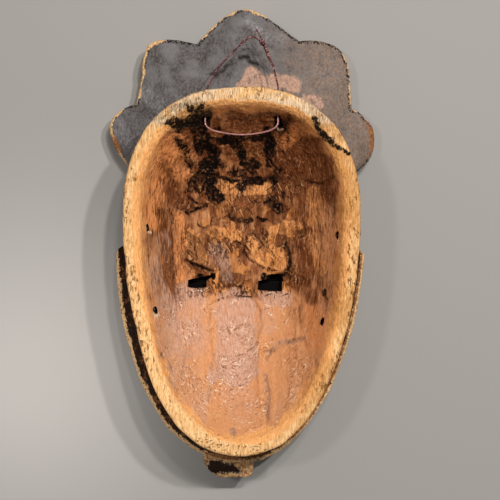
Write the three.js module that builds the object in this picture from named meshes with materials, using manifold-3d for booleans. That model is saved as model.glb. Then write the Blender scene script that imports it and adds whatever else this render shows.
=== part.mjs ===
// A carved wooden face mask with a five-lobed crest, lying on its face with the hollow back up.
//
// Units are millimetres. X runs across the mask, +Y towards the crest and +Z up, out of the
// hollow. The origin is under the middle of the mask, on the surface that it lies on, which the
// tip of the nose and the two side lobes of the crest touch. The mask is one solid. A thin wire
// is laced through the two holes at the top of the hollow.

import * as THREE from 'three';
import { mergeVertices } from 'three/addons/utils/BufferGeometryUtils.js';
import Module from 'manifold-3d';

// Driving dimensions of the bowl: an egg-shaped outline, wide above and long towards the chin
const BOWL = {
  centreY: 20,
  halfWidth: 95.5,
  reachUp: 104,
  reachDown: 193,
  powerUp: 2.4,
  powerDown: 2.1,
};
const RIM_Z = 97;
const RIM_BAND = 8.5;
const BEVEL_WIDTH = 6;
const BEVEL_DROP = 5;

// Driving dimensions of the face, on the underside. Its middle line is a little off centre.
const FACE_X = -5;
const FACE_Z = 15;
const FACE_INSET = 5;
const CHEEK_RISE = 41;
const CHEEK_POWER = 3.1;
const FOREHEAD = { y: 52, height: 9, halfWidth: 78, halfHeight: 66 };
const NOSE = { bridgeY: -4, length: 80, bridgeHalf: 5.5, flare: 9, bridgeHeight: 6, tipRise: 12 };
const NOSTRIL = { offset: 11.5, y: -78, halfWidth: 7, halfHeight: 8, height: 6 };
const BROW = { y: 2, rise: 13, span: 42, thickness: 5.5, height: 6, end: 72 };
const EYE = { offset: 30, y: -36, halfWidth: 20, halfHeight: 10.5, lid: 6, slit: 2.4 };
const SOCKET = { halfWidth: 36, halfHeight: 30, depth: 5 };
const MOUTH = { y: -116, halfWidth: 23, halfHeight: 10.5, height: 9, parting: 0.6 };
const MUZZLE = { y: -114, halfWidth: 40, halfHeight: 30, height: 4 };
const CHIN = { y: -152, halfWidth: 28, halfHeight: 20, height: 8 };
const CHEEK = { offset: 48, y: -72, halfWidth: 34, halfHeight: 40, height: 4 };
const HAIRLINE = { share: 0.765, halfShare: 0.055, wave: 0.02, scallops: 7, height: 10 };

// Driving dimensions of the hollow
const HOLLOW_FLOOR = 31;
const HOLLOW_POWER = 4;
const FOREHEAD_POCKET = { y: 55, depth: 5, halfWidth: 55, halfHeight: 50 };
const NOSE_TROUGH = { x: -4, halfWidth: 19, top: -38, bottom: -128, depth: 4 };
const CHIN_RAMP = 8;

// Driving dimensions of the crest
const CREST_BACK_AT_BOWL = 36;
const CREST_BACK_AT_TIP = 23;
const CREST_TIP_FRONT = 0;
const CREST_FRONT_AT_BOWL = 12;
const CREST_TOP_LIFT = 0.02;
const CREST_BORDER = 9;
const CREST_FIELD_DEPTH = 3.5;
const CREST_GROOVES = 3;
const CREST_GROOVE_DEPTH = 1.6;
const CREST_SIDE_Y = 96;
const CREST_ROOT = 0.75;
const WORN_EDGE = 2.2;

// Each lobe of the crest is one curve from notch to notch: its two handles and its end
const CREST_START = [-99, 65.5];
const CREST_LOBES = [
  { handles: [[-117, 85], [-124, 112]], end: [-91.5, 119] },
  { handles: [[-80, 169], [-94, 180]], end: [-38.5, 170.5] },
  { handles: [[1.5, 216], [7.5, 203]], end: [49, 173] },
  { handles: [[97, 176.5], [91.5, 151.5]], end: [94, 114] },
  { handles: [[117, 107], [122, 75.5]], end: [101, 61.5] },
];

// Driving dimensions of the jaw frill, which stands out round the lower half of the bowl
const FRILL = {
  leftHalfWidth: 108,
  rightHalfWidth: 104.5,
  reachDown: 206,
  leftPower: 2.25,
  rightPower: 2,
  startY: -5,
  endY: -9,
  backZ: 46,
  frontZ: 31,
  teeth: 17,
  toothHeight: 4,
  root: 0.74,
};
const CHIN_TAB = { left: -33, right: 10, top: -172, bottom: -200.4, slant: 13, frontZ: 22, backZ: 38 };
const CHIN_TAB_EDGE = 2;

// Eye slots: centre, full width and full height of each
const EYE_SLOTS = [
  { x: -37.4, y: -35.2, width: 17, height: 8 },
  { x: 23.3, y: -36.8, width: 19.5, height: 10.5 },
];

// Small round holes: a point in the middle of each, and the way that it is drilled
const TOP_HOLE_RADIUS = 3;
const SIDE_HOLE_RADIUS = 2.5;
const TOP_HOLES = [
  { at: [-29.5, 104, 77], along: [0, 1, -0.25] },
  { at: [29.5, 104, 77], along: [0, 1, -0.25] },
];
const SIDE_HOLES = [
  { at: [-81, 11, 84], along: [1, 0, 0.3] },
  { at: [-74, -56, 82], along: [1, 0.15, 0.3] },
  { at: [82, 5, 84], along: [-1, 0, 0.3] },
  { at: [69, -65, 82], along: [-1, 0.15, 0.3] },
];
const HOLE_LENGTH = 70;

// Hanging wire: its diameter and its route, from the tip of one tied end to the tip of the other
const WIRE_DIAMETER = 1.4;
const WIRE_STEPS = 56;
const WIRE_ROUTE = [
  [27, 147, 48],
  [21.5, 155, 52],
  [18, 163, 55],
  [13, 168.5, 56],
  [7.5, 170.5, 57],
  [1, 165.5, 57],
  [-8, 157, 57],
  [-16.5, 147.5, 59],
  [-24, 136, 64],
  [-29, 124, 70.5],
  [-29.5, 104, 76.5],
  [-29, 94.5, 80.5],
  [-24, 90.5, 82],
  [-14, 88, 81.5],
  [0, 86.7, 81],
  [14, 88, 81.5],
  [24, 90.5, 82],
  [29, 94.5, 80.5],
  [29.5, 104, 76.5],
  [30, 124, 70.5],
  [28, 136, 66],
  [24, 150, 60.5],
  [20, 161, 57.5],
  [16.5, 168, 57.5],
  [12, 177, 54],
];

// How finely each surface is divided. A grid's lines go from -1 to 1 over the bowl, in stretches
// of even spacing: each stretch gives where it starts and how many cells it has.
const FACE_GRID = {
  across: [[-1, 3], [-0.6, 23], [0.6, 3]],
  along: [[-1, 4], [-0.8, 33], [0.03, 10]],
};
const HOLLOW_GRID = { across: [[-1, 18]], along: [[-1, 14], [0, 10]] };
const CREST_STEPS_PER_LOBE = 14;
const FRILL_STEPS_PER_TOOTH = 4;

const wasm = await Module();
wasm.setup();

const signedPower = (value, power) => Math.sign(value) * Math.abs(value) ** power;

/** A soft round swelling: 1 in the middle, 0 beyond its half width and half height. */
function bump(x, y, halfWidth, halfHeight) {
  const distance = Math.min(1, Math.hypot(x / halfWidth, y / halfHeight));
  return 0.5 + 0.5 * Math.cos(Math.PI * distance);
}

/** Eases from 0 below the first edge to 1 above the second. */
function ease(from, to, value) {
  const t = THREE.MathUtils.clamp((value - from) / (to - from), 0, 1);
  return t * t * (3 - 2 * t);
}

/** A dome's height, 1 in the middle and 0 at its rim, where the distance is 1. */
function dome(distance) {
  return Math.sqrt(Math.max(0, 1 - distance * distance));
}

/** How far the nose stands out: a long ridge that widens and rises to its tip, and two wings. */
function noseRelief(side, y) {
  const along = (NOSE.bridgeY - y) / NOSE.length;
  const half = NOSE.bridgeHalf + NOSE.flare * ease(0.35, 1, along);
  const ends = ease(-0.18, 0.1, along) * (1 - ease(0.98, 1.06, along));
  const ridge = (NOSE.bridgeHeight + NOSE.tipRise * ease(0, 1, along))
    * Math.max(0, 1 - (side / half) ** 2.2) * ends;
  const wing = NOSTRIL.height
    * bump(side - NOSTRIL.offset, y - NOSTRIL.y, NOSTRIL.halfWidth, NOSTRIL.halfHeight);
  return Math.max(ridge, wing);
}

/** How far the brows stand out: two arched ridges that spring from the nose. */
function browRelief(side, y) {
  const t = (side - EYE.offset) / BROW.span;
  const arch = BROW.y + BROW.rise * (1 - 1.9 * t * t);
  const offset = (y - arch) / BROW.thickness;
  const ends = (1 - ease(BROW.end - 14, BROW.end, side)) * ease(-4, 4, side);
  return BROW.height * Math.exp(-offset * offset) * ends;
}

/** The eyes: a shallow socket, an almond-shaped lid in it and the slit between the lids. */
function eyeRelief(side, y) {
  const dx = side - EYE.offset;
  const dy = y - EYE.y;
  const socket = SOCKET.depth * bump(dx, dy - 3, SOCKET.halfWidth, SOCKET.halfHeight);
  const almond = Math.hypot(dx / EYE.halfWidth, dy / EYE.halfHeight);
  const slit = almond < 0.93 ? EYE.slit * Math.exp(-(((dy - 1) / 1.6) ** 2)) : 0;
  return EYE.lid * dome(almond) - slit - socket;
}

/** The mouth: full lips, parted by a groove, on a low swelling. */
function mouthRelief(dx, y) {
  const up = (y - MOUTH.y) / MOUTH.halfHeight;
  const lips = MOUTH.height * dome(Math.hypot(dx / MOUTH.halfWidth, up));
  const muzzle = MUZZLE.height * bump(dx, y - MUZZLE.y, MUZZLE.halfWidth, MUZZLE.halfHeight);
  return lips * (1 - MOUTH.parting * Math.exp(-((up / 0.22) ** 2))) + muzzle;
}

/** How far the features stand out of the face towards the front at a point. */
function faceRelief(x, y) {
  const dx = x - FACE_X;
  const side = Math.abs(dx);
  const swelling = (middleX, form) => form.height
    * bump(middleX, y - form.y, form.halfWidth, form.halfHeight);
  return swelling(dx, FOREHEAD) + swelling(dx, CHIN) + swelling(side - CHEEK.offset, CHEEK)
    + noseRelief(side, y) + browRelief(side, y) + eyeRelief(side, y) + mouthRelief(dx, y);
}

/** Raised band where the face meets the crest, scalloped like a row of curls. */
function hairline(x, y, share) {
  const angle = Math.atan2(y - BOWL.centreY, x - FACE_X);
  if (angle < 0) return 0;
  const wave = HAIRLINE.wave * Math.abs(Math.sin(angle * HAIRLINE.scallops));
  const offset = (share - HAIRLINE.share - wave) / HAIRLINE.halfShare;
  return HAIRLINE.height * Math.exp(-offset * offset) * ease(0.05, 0.5, Math.sin(angle));
}

/** Height of the face's surface above the floor: a shell that rolls up into the side walls. */
function faceZ(x, y, share) {
  const within = Math.min(1, share);
  const roll = 1 - (1 - within ** CHEEK_POWER) ** (1 / CHEEK_POWER);
  const relief = faceRelief(x, y) * (1 - ease(0.8, 0.97, share)) + hairline(x, y, share);
  return Math.max(0, FACE_Z + CHEEK_RISE * roll - relief);
}

/** Height of the hollow's surface above the floor: a bowl with a flattish bottom. */
function hollowZ(x, y, share) {
  const down = ease(BOWL.centreY, -BOWL.reachDown, y);
  const floor = HOLLOW_FLOOR + CHIN_RAMP * ease(0.3, 1, down);
  const edge = RIM_Z - BEVEL_DROP;
  const pocket = FOREHEAD_POCKET.depth
    * bump(x, y - FOREHEAD_POCKET.y, FOREHEAD_POCKET.halfWidth, FOREHEAD_POCKET.halfHeight);
  const acrossTrough = Math.max(0, 1 - ((x - NOSE_TROUGH.x) / NOSE_TROUGH.halfWidth) ** 2);
  const alongTrough = ease(NOSE_TROUGH.bottom - 18, NOSE_TROUGH.bottom, y)
    * (1 - ease(NOSE_TROUGH.top, NOSE_TROUGH.top + 12, y));
  const trough = NOSE_TROUGH.depth * acrossTrough * alongTrough;
  return floor + (edge - floor) * share ** HOLLOW_POWER - pocket - trough;
}

/**
 * Closes a surface from a first point over a list of loops to a last point. Every loop has the
 * same number of points, and the result is turned so that its faces point outwards.
 */
function closedLoft(first, loops, last) {
  const count = loops[0].length;
  const positions = [first, ...loops.flat(), last].flat();
  const top = loops.length * count + 1;
  const indices = [];
  for (let i = 0; i < count; i += 1) {
    const j = (i + 1) % count;
    indices.push(0, 1 + j, 1 + i);
    for (let k = 0; k + 1 < loops.length; k += 1) {
      const low = 1 + k * count;
      const high = low + count;
      indices.push(low + i, low + j, high + j, low + i, high + j, high + i);
    }
    indices.push(top - count + i, top - count + j, top);
  }
  return outward(positions, indices);
}

/** Six times the volume that a list of triangles encloses, negative where they point inwards. */
function signedVolume(positions, indices) {
  const corner = (n) => new THREE.Vector3().fromArray(positions, 3 * indices[n]);
  let sum = 0;
  for (let i = 0; i < indices.length; i += 3) {
    sum += corner(i).dot(corner(i + 1).cross(corner(i + 2)));
  }
  return sum;
}

/** Makes a geometry of points and triangles whose faces point outwards. */
function outward(positions, indices) {
  if (signedVolume(positions, indices) < 0) indices.reverse();
  const geometry = new THREE.BufferGeometry();
  geometry.setAttribute('position', new THREE.Float32BufferAttribute(positions, 3));
  geometry.setIndex(indices);
  return geometry;
}

/** Turns a closed geometry into a solid that can be joined and cut. */
function toSolid(source) {
  const geometry = source.clone();
  geometry.deleteAttribute('normal');
  geometry.deleteAttribute('uv');
  const merged = mergeVertices(geometry, 1e-4);
  return new wasm.Manifold(new wasm.Mesh({
    numProp: 3,
    vertProperties: new Float32Array(merged.attributes.position.array),
    triVerts: new Uint32Array(merged.index.array),
  }));
}

/** Turns a solid back into a geometry. */
function toGeometry(solid) {
  const mesh = solid.getMesh();
  const geometry = new THREE.BufferGeometry();
  geometry.setAttribute('position', new THREE.BufferAttribute(mesh.vertProperties, 3));
  geometry.setIndex(new THREE.BufferAttribute(mesh.triVerts, 1));
  geometry.computeVertexNormals();
  return geometry;
}

/** The places of a grid's lines from -1 to 1. */
function gridLines(stretches) {
  const places = [-1];
  stretches.forEach(([from, cells], n) => {
    const to = n + 1 < stretches.length ? stretches[n + 1][0] : 1;
    for (let i = 1; i <= cells; i += 1) places.push(from + (to - from) * i / cells);
  });
  return places;
}

/**
 * A patch over an egg-shaped area: a square grid bent to fill a disc, and the disc stretched to
 * the bowl's outline. It gives the grid's points row by row and the loop of its edge.
 */
function eggPatch(grid, inset, surfaceZ) {
  const point = (u, v) => {
    const discX = u * Math.sqrt(1 - v * v / 2);
    const discY = v * Math.sqrt(1 - u * u / 2);
    const reach = (discY > 0 ? BOWL.reachUp : BOWL.reachDown) - inset;
    const power = discY > 0 ? BOWL.powerUp : BOWL.powerDown;
    const radius = Math.hypot(discX, discY);
    const egg = (Math.abs(discX) ** power + Math.abs(discY) ** power) ** (1 / power);
    const scale = egg > 0 ? radius / egg : 1;
    const x = discX * scale * (BOWL.halfWidth - inset);
    const y = BOWL.centreY + discY * scale * reach;
    return [x, y, surfaceZ(x, y, radius)];
  };
  return gridLines(grid.along).map((v) => gridLines(grid.across).map((u) => point(u, v)));
}

/** Closes an egg-shaped patch with a wall of loops over its edge and a flat cap on the last. */
function patchBody(grid, inset, surfaceZ, walls) {
  const rows = eggPatch(grid, inset, surfaceZ);
  const across = rows[0].length - 1;
  const along = rows.length - 1;
  const wide = across + 1;
  const positions = rows.flat(2);
  const indices = [];
  for (let j = 0; j < along; j += 1) {
    for (let i = 0; i < across; i += 1) {
      const a = j * wide + i;
      indices.push(a, a + wide + 1, a + 1, a, a + wide, a + wide + 1);
    }
  }
  const edge = [];
  for (let i = 0; i < across; i += 1) edge.push(i);
  for (let j = 0; j < along; j += 1) edge.push(j * wide + across);
  for (let i = across; i > 0; i -= 1) edge.push(along * wide + i);
  for (let j = along; j > 0; j -= 1) edge.push(j * wide);

  let previous = edge;
  for (const wall of walls) {
    const start = positions.length / 3;
    for (const n of edge) {
      const x = positions[3 * n];
      const y = positions[3 * n + 1];
      const length = Math.hypot(x, y - BOWL.centreY);
      const grow = 1 + wall.outset / length;
      positions.push(x * grow, BOWL.centreY + (y - BOWL.centreY) * grow, wall.z);
    }
    const current = edge.map((_, n) => start + n);
    for (let n = 0; n < edge.length; n += 1) {
      const m = (n + 1) % edge.length;
      indices.push(previous[n], previous[m], current[m], previous[n], current[m], current[n]);
    }
    previous = current;
  }
  const cap = positions.length / 3;
  positions.push(0, BOWL.centreY, walls.at(-1).z);
  for (let n = 0; n < previous.length; n += 1) {
    indices.push(previous[n], previous[(n + 1) % previous.length], cap);
  }
  return outward(positions, indices);
}

/** The carved block before it is hollowed: the face below and a flat top at the rim. */
function bowlBlock() {
  const walls = [
    { outset: FACE_INSET * 0.6, z: 72 },
    { outset: FACE_INSET, z: RIM_Z - WORN_EDGE },
    { outset: FACE_INSET - 1.2, z: RIM_Z },
  ];
  return patchBody(FACE_GRID, FACE_INSET, faceZ, walls);
}

/** The space to hollow out: the hollow's floor and walls, its bevelled mouth and room above. */
function hollowSpace() {
  const inset = RIM_BAND + BEVEL_WIDTH;
  const walls = [
    { outset: BEVEL_WIDTH, z: RIM_Z },
    { outset: BEVEL_WIDTH, z: RIM_Z + 5 },
  ];
  return patchBody(HOLLOW_GRID, inset, hollowZ, walls);
}

/** Distance from the bowl's centre to its outline, along a direction. */
function bowlRadius(cos, sin) {
  const reach = sin > 0 ? BOWL.reachUp : BOWL.reachDown;
  const power = sin > 0 ? BOWL.powerUp : BOWL.powerDown;
  return ((Math.abs(cos) / BOWL.halfWidth) ** power + (Math.abs(sin) / reach) ** power) ** (-1 / power);
}

/** Outline of the crest: for each station its place, and how far it is through its lobe. */
function crestOutline() {
  const stations = [];
  let start = new THREE.Vector2(...CREST_START);
  for (const lobe of CREST_LOBES) {
    const end = new THREE.Vector2(...lobe.end);
    const handles = lobe.handles.map((handle) => new THREE.Vector2(...handle));
    const curve = new THREE.CubicBezierCurve(start, ...handles, end);
    for (let i = stations.length ? 1 : 0; i <= CREST_STEPS_PER_LOBE; i += 1) {
      const through = i / CREST_STEPS_PER_LOBE;
      stations.push({ point: curve.getPointAt(through), through });
    }
    start = end;
  }
  return stations;
}

/**
 * The crest: a plate that sweeps forward from the bowl to the tips of its lobes. Its back is
 * smooth. Its front has a raised border and fans of grooves in a sunken field.
 */
function crestPlate() {
  const insets = [1, 0.62, 0.3];
  const loops = crestOutline().map(({ point, through }) => {
    const dx = point.x;
    const dy = point.y - BOWL.centreY;
    const tip = Math.hypot(dx, dy);
    const cos = dx / tip;
    const sin = dy / tip;
    const bowl = bowlRadius(cos, sin);
    const root = bowl * CREST_ROOT;
    const outward01 = (radius) => ease(0, 1, (radius - bowl) / (tip - bowl));
    const lift = CREST_TOP_LIFT * Math.max(0, point.y - CREST_SIDE_Y);
    const at = (radius, z) => [cos * radius, BOWL.centreY + sin * radius, z];
    const backZ = (radius) => THREE.MathUtils.lerp(
      CREST_BACK_AT_BOWL, CREST_BACK_AT_TIP, outward01(radius)) + lift;
    const frontZ = (radius) => THREE.MathUtils.lerp(
      CREST_FRONT_AT_BOWL, CREST_TIP_FRONT, outward01(radius)) + lift;
    const groove = CREST_GROOVE_DEPTH * Math.sin(Math.PI * CREST_GROOVES * through) ** 2;
    const fieldZ = (radius) => frontZ(radius) + CREST_FIELD_DEPTH + groove;

    const inner = tip - CREST_BORDER;
    const ring = [at(tip, frontZ(tip) + WORN_EDGE), at(tip - WORN_EDGE, frontZ(tip))];
    ring.push(at(inner, frontZ(inner)));
    for (const share of insets) {
      const radius = root + (inner - 2.5 - root) * share;
      ring.push(at(radius, fieldZ(radius)));
    }
    ring.push(at(root, fieldZ(root)));
    ring.push(at(root, CREST_BACK_AT_BOWL));
    ring.push(at(bowl, CREST_BACK_AT_BOWL));
    ring.push(at(bowl + (tip - bowl) * 0.5, backZ(bowl + (tip - bowl) * 0.5)));
    ring.push(at(tip - WORN_EDGE, backZ(tip)));
    ring.push(at(tip, backZ(tip) - WORN_EDGE));
    return ring;
  });
  return closedLoft(middle(loops[0]), loops, middle(loops.at(-1)));
}

/** The mean of a loop of points. */
function middle(loop) {
  const sum = [0, 0, 0];
  for (const point of loop) {
    for (let axis = 0; axis < 3; axis += 1) sum[axis] += point[axis] / loop.length;
  }
  return sum;
}

/** The jaw frill: a plate round the lower half of the bowl, its front carved in teeth. */
function jawFrill() {
  const angleAt = (side, y) => {
    const power = side < 0 ? FRILL.leftPower : FRILL.rightPower;
    const down = (BOWL.centreY - y) / FRILL.reachDown;
    return Math.asin(down ** (power / 2));
  };
  const from = angleAt(-1, FRILL.startY);
  const to = Math.PI - angleAt(1, FRILL.endY);
  const steps = FRILL.teeth * FRILL_STEPS_PER_TOOTH;
  const loops = [];
  for (let i = 0; i <= steps; i += 1) {
    const angle = from + (to - from) * i / steps;
    const left = angle < Math.PI / 2;
    const power = left ? FRILL.leftPower : FRILL.rightPower;
    const halfWidth = left ? FRILL.leftHalfWidth : FRILL.rightHalfWidth;
    const x = -halfWidth * signedPower(Math.cos(angle), 2 / power);
    const y = -FRILL.reachDown * Math.sin(angle) ** (2 / power);
    const tooth = Math.abs((i % FRILL_STEPS_PER_TOOTH) / FRILL_STEPS_PER_TOOTH - 0.5) * 2;
    const front = FRILL.frontZ + FRILL.toothHeight * tooth;
    const at = (share, z) => [x * share, BOWL.centreY + y * share, z];
    loops.push([
      at(FRILL.root, front + 2),
      at(0.97, front),
      at(1, front + 3),
      at(1, FRILL.backZ - 2),
      at(0.985, FRILL.backZ),
      at(FRILL.root, FRILL.backZ),
    ]);
  }
  return closedLoft(middle(loops[0]), loops, middle(loops.at(-1)));
}

/** The tab under the chin, with slanted lower corners. */
function chinTab() {
  const shape = new THREE.Shape();
  shape.moveTo(CHIN_TAB.left, CHIN_TAB.top);
  shape.lineTo(CHIN_TAB.left, CHIN_TAB.bottom + CHIN_TAB.slant);
  shape.quadraticCurveTo(
    CHIN_TAB.left + 3, CHIN_TAB.bottom + 3, CHIN_TAB.left + CHIN_TAB.slant + 2, CHIN_TAB.bottom);
  shape.lineTo(CHIN_TAB.right - 3, CHIN_TAB.bottom + 1);
  shape.lineTo(CHIN_TAB.right, CHIN_TAB.bottom + CHIN_TAB.slant);
  shape.lineTo(CHIN_TAB.right, CHIN_TAB.top);
  const geometry = new THREE.ExtrudeGeometry(shape, {
    depth: CHIN_TAB.backZ - CHIN_TAB.frontZ - 2 * CHIN_TAB_EDGE,
    bevelThickness: CHIN_TAB_EDGE,
    bevelSize: CHIN_TAB_EDGE,
    bevelOffset: -CHIN_TAB_EDGE,
    bevelSegments: 1,
    curveSegments: 4,
  });
  return geometry.translate(0, 0, CHIN_TAB.frontZ + CHIN_TAB_EDGE);
}

/** A round rod through a point, to drill a hole with. */
function drill(at, along, radius) {
  const geometry = new THREE.CylinderGeometry(radius, radius, HOLE_LENGTH, 8);
  const direction = new THREE.Vector3(...along).normalize();
  const turn = new THREE.Quaternion().setFromUnitVectors(new THREE.Vector3(0, 1, 0), direction);
  geometry.applyQuaternion(turn);
  return geometry.translate(...at);
}

/** The whole mask as one solid. */
function carvedMask() {
  let solid = toSolid(bowlBlock());
  for (const piece of [crestPlate(), jawFrill(), chinTab()]) solid = solid.add(toSolid(piece));
  solid = solid.subtract(toSolid(hollowSpace()));
  for (const slot of EYE_SLOTS) {
    const box = new THREE.BoxGeometry(slot.width, slot.height, 2 * RIM_Z);
    solid = solid.subtract(toSolid(box.translate(slot.x, slot.y, 0)));
  }
  for (const hole of TOP_HOLES) {
    solid = solid.subtract(toSolid(drill(hole.at, hole.along, TOP_HOLE_RADIUS)));
  }
  for (const hole of SIDE_HOLES) {
    solid = solid.subtract(toSolid(drill(hole.at, hole.along, SIDE_HOLE_RADIUS)));
  }
  return toGeometry(solid);
}

/** The hanging wire as a thin eight-sided tube along its route. */
function wireTube() {
  const route = new THREE.CatmullRomCurve3(
    WIRE_ROUTE.map((point) => new THREE.Vector3(...point)), false, 'centripetal');
  const section = new THREE.Shape();
  for (let i = 0; i <= 8; i += 1) {
    const angle = (i % 8) * Math.PI / 4;
    const x = Math.cos(angle) * WIRE_DIAMETER / 2;
    const y = Math.sin(angle) * WIRE_DIAMETER / 2;
    if (i === 0) section.moveTo(x, y);
    else section.lineTo(x, y);
  }
  return new THREE.ExtrudeGeometry(section, { steps: WIRE_STEPS, extrudePath: route });
}

function namedMesh(name, geometry, material) {
  const mesh = new THREE.Mesh(geometry, material);
  mesh.name = name;
  return mesh;
}

const carvedWood = new THREE.MeshStandardMaterial({
  color: 0xb9794a,
  roughness: 0.7,
  metalness: 0,
});
const copperWire = new THREE.MeshStandardMaterial({
  color: 0x6e2f2c,
  roughness: 0.4,
  metalness: 0.6,
});

const mask = new THREE.Group();
mask.add(namedMesh('mask', carvedMask(), carvedWood));
mask.add(namedMesh('hanging_wire', wireTube(), copperWire));

export default mask;
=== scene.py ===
"""A carved wooden face mask lying on its face, hollow back up, with a wire to hang it by.

Sizes in the classes are millimetres, as a carver would give them, and every mesh is written in
metres. X runs across the mask, +Y towards the crest and +Z up, out of the hollow.
"""

import logging
import math
from dataclasses import dataclass, field
from typing import Callable, ClassVar, Sequence

import bpy
import numpy as np
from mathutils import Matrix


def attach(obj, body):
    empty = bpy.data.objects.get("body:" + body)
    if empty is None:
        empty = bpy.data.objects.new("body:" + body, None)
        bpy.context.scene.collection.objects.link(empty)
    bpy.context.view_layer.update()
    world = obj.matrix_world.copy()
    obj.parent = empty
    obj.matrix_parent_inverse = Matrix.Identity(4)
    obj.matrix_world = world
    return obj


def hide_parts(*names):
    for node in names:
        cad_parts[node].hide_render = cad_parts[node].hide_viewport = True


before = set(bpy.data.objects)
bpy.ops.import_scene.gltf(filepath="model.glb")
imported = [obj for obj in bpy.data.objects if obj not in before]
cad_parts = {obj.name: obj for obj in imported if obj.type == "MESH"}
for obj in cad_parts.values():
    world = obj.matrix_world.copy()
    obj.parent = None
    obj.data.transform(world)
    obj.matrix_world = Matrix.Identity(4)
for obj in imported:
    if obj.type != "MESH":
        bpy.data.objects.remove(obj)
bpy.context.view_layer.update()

LOG = logging.getLogger("face_mask")
MM = 0.001
Array = np.ndarray
Piece = bpy.types.Object
Socket = bpy.types.NodeSocket
Tree = bpy.types.NodeTree
Route = tuple[tuple[float, float], ...]


def ease(start: float, end: float, value: Array) -> Array:
    """Rise smoothly from 0 at start to 1 at end."""
    t = np.clip((value - start) / (end - start), 0, 1)
    return t * t * (3 - 2 * t)


def bump(x: Array, y: Array, half_width: float, half_height: float) -> Array:
    """Give a soft round swelling: a cosine hill, 1 in the middle and 0 at its half sizes."""
    distance = np.minimum(1, np.hypot(x / half_width, y / half_height))
    return 0.5 + 0.5 * np.cos(np.pi * distance)


def dome(distance: Array) -> Array:
    """Give half an ellipse: 1 in the middle and 0 where the distance is 1."""
    return np.sqrt(np.maximum(0, 1 - distance * distance))


def hashed(cells: Sequence[Array], seed: int) -> Array:
    """Give each whole-number cell its own fixed value from 0 to 1.

    Args:
        cells: The cell's number along each axis.
        seed: Picks one of many independent patterns.

    Returns:
        One value for each cell, the same on every run.
    """
    factors = (73856093, 19349663, 83492791)
    mixed = np.full(np.shape(cells[0]), seed * 40503 + 977, dtype=np.int64)
    for cell, factor in zip(cells, factors):
        mixed = mixed ^ (cell.astype(np.int64) * factor)
    mixed = (mixed ^ (mixed >> 13)) & 0xFFFFFFFF
    mixed = (mixed * 1274126177) & 0xFFFFFFFF
    mixed = (mixed ^ (mixed >> 16)) & 0xFFFF
    return mixed / 65535


def noise(points: Array, size: float, seed: int, octaves: int = 2) -> Array:
    """Give smooth noise from about -1 to 1.

    Random values stand at the corners of cubes and are blended between them, and each further
    octave adds cubes of half the size at half the strength.

    Args:
        points: Places in millimetres, in rows of two or three.
        size: Edge of the largest cubes in millimetres.
        seed: Picks one of many independent patterns.
        octaves: How many sizes of cube are added.

    Returns:
        One value for each point.
    """
    total = np.zeros(points.shape[:-1])
    weight = 1
    for octave in range(octaves):
        scaled = points / size
        cell = np.floor(scaled)
        part = scaled - cell
        part = part * part * (3 - 2 * part)
        for corner in np.ndindex(*(2,) * points.shape[-1]):
            share = np.ones(points.shape[:-1])
            for axis, side in enumerate(corner):
                share *= part[..., axis] if side else 1 - part[..., axis]
            cells = [cell[..., axis] + side for axis, side in enumerate(corner)]
            total += weight * share * (2 * hashed(cells, seed + octave) - 1)
        size *= 0.5
        weight *= 0.5
    return total


def tool_facets(x: Array, y: Array, wide: float, long: float, seed: int) -> Array:
    """Lay out the flat facets that a gouge leaves side by side.

    The plane is parted into cells round seeds that are jittered off a lattice. In each cell the
    surface is a plane with a tilt of its own, dished towards its middle.

    Args:
        x: Places across the facets in millimetres.
        y: Places along the facets in millimetres.
        wide: Mean width of a facet in millimetres.
        long: Mean length of a facet in millimetres.
        seed: Picks one of many independent patterns.

    Returns:
        The facets' height, about -1 to 1.
    """
    u, v = x / wide, y / long
    cell_u, cell_v = np.floor(u), np.floor(v)
    nearest = np.full(u.shape, 9)
    height = np.zeros(u.shape)
    for step_u in (-1, 0, 1):
        for step_v in (-1, 0, 1):
            cells = [cell_u + step_u, cell_v + step_v]
            du = u - (cells[0] + 0.1 + 0.8 * hashed(cells, seed))
            dv = v - (cells[1] + 0.1 + 0.8 * hashed(cells, seed + 1))
            distance = np.hypot(du, dv)
            tilt_u = 2 * hashed(cells, seed + 2) - 1
            tilt_v = 2 * hashed(cells, seed + 3) - 1
            plane = 0.9 * (tilt_u * du + tilt_v * dv) + distance * distance - 0.35
            closer = distance < nearest
            height = np.where(closer, plane, height)
            nearest = np.where(closer, distance, nearest)
    return height


def off_route(x: Array, y: Array, route: Route) -> tuple[Array, Array]:
    """Measure how far places lie from a line through the route's points.

    Args:
        x: Places across the mask in millimetres.
        y: Places along the mask in millimetres.
        route: The line's points.

    Returns:
        The distance to the line, and 1 on its left side or -1 on its right, which fades to 0
        past its two ends.
    """
    best = np.full(np.shape(x), 1e9)
    side = np.zeros(np.shape(x))
    for number, ((ax, ay), (bx, by)) in enumerate(zip(route[:-1], route[1:])):
        length = math.hypot(bx - ax, by - ay)
        ux, uy = (bx - ax) / length, (by - ay) / length
        along = (x - ax) * ux + (y - ay) * uy
        across = (y - ay) * ux - (x - ax) * uy
        inside = np.clip(along, 0, length)
        distance = np.hypot(along - inside, across)
        before = np.maximum(0, -along) if number == 0 else 0
        after = np.maximum(0, along - length) if number == len(route) - 2 else 0
        faded = np.sign(across) * (1 - ease(0, 5, before + after))
        side = np.where(distance < best, faded, side)
        best = np.minimum(best, distance)
    return best, side


def run_along(line: Array) -> Array:
    """Give each place's distance from the start of a line, measured along it."""
    return np.concatenate([[0], np.cumsum(np.linalg.norm(np.diff(line, axis=0), axis=1))])


def paced(line: Array, run: Array, pace: Array) -> Array:
    """Give the places on a line where its run has the given values."""
    return np.stack([np.interp(pace, run, column) for column in line.T], axis=-1)


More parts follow.
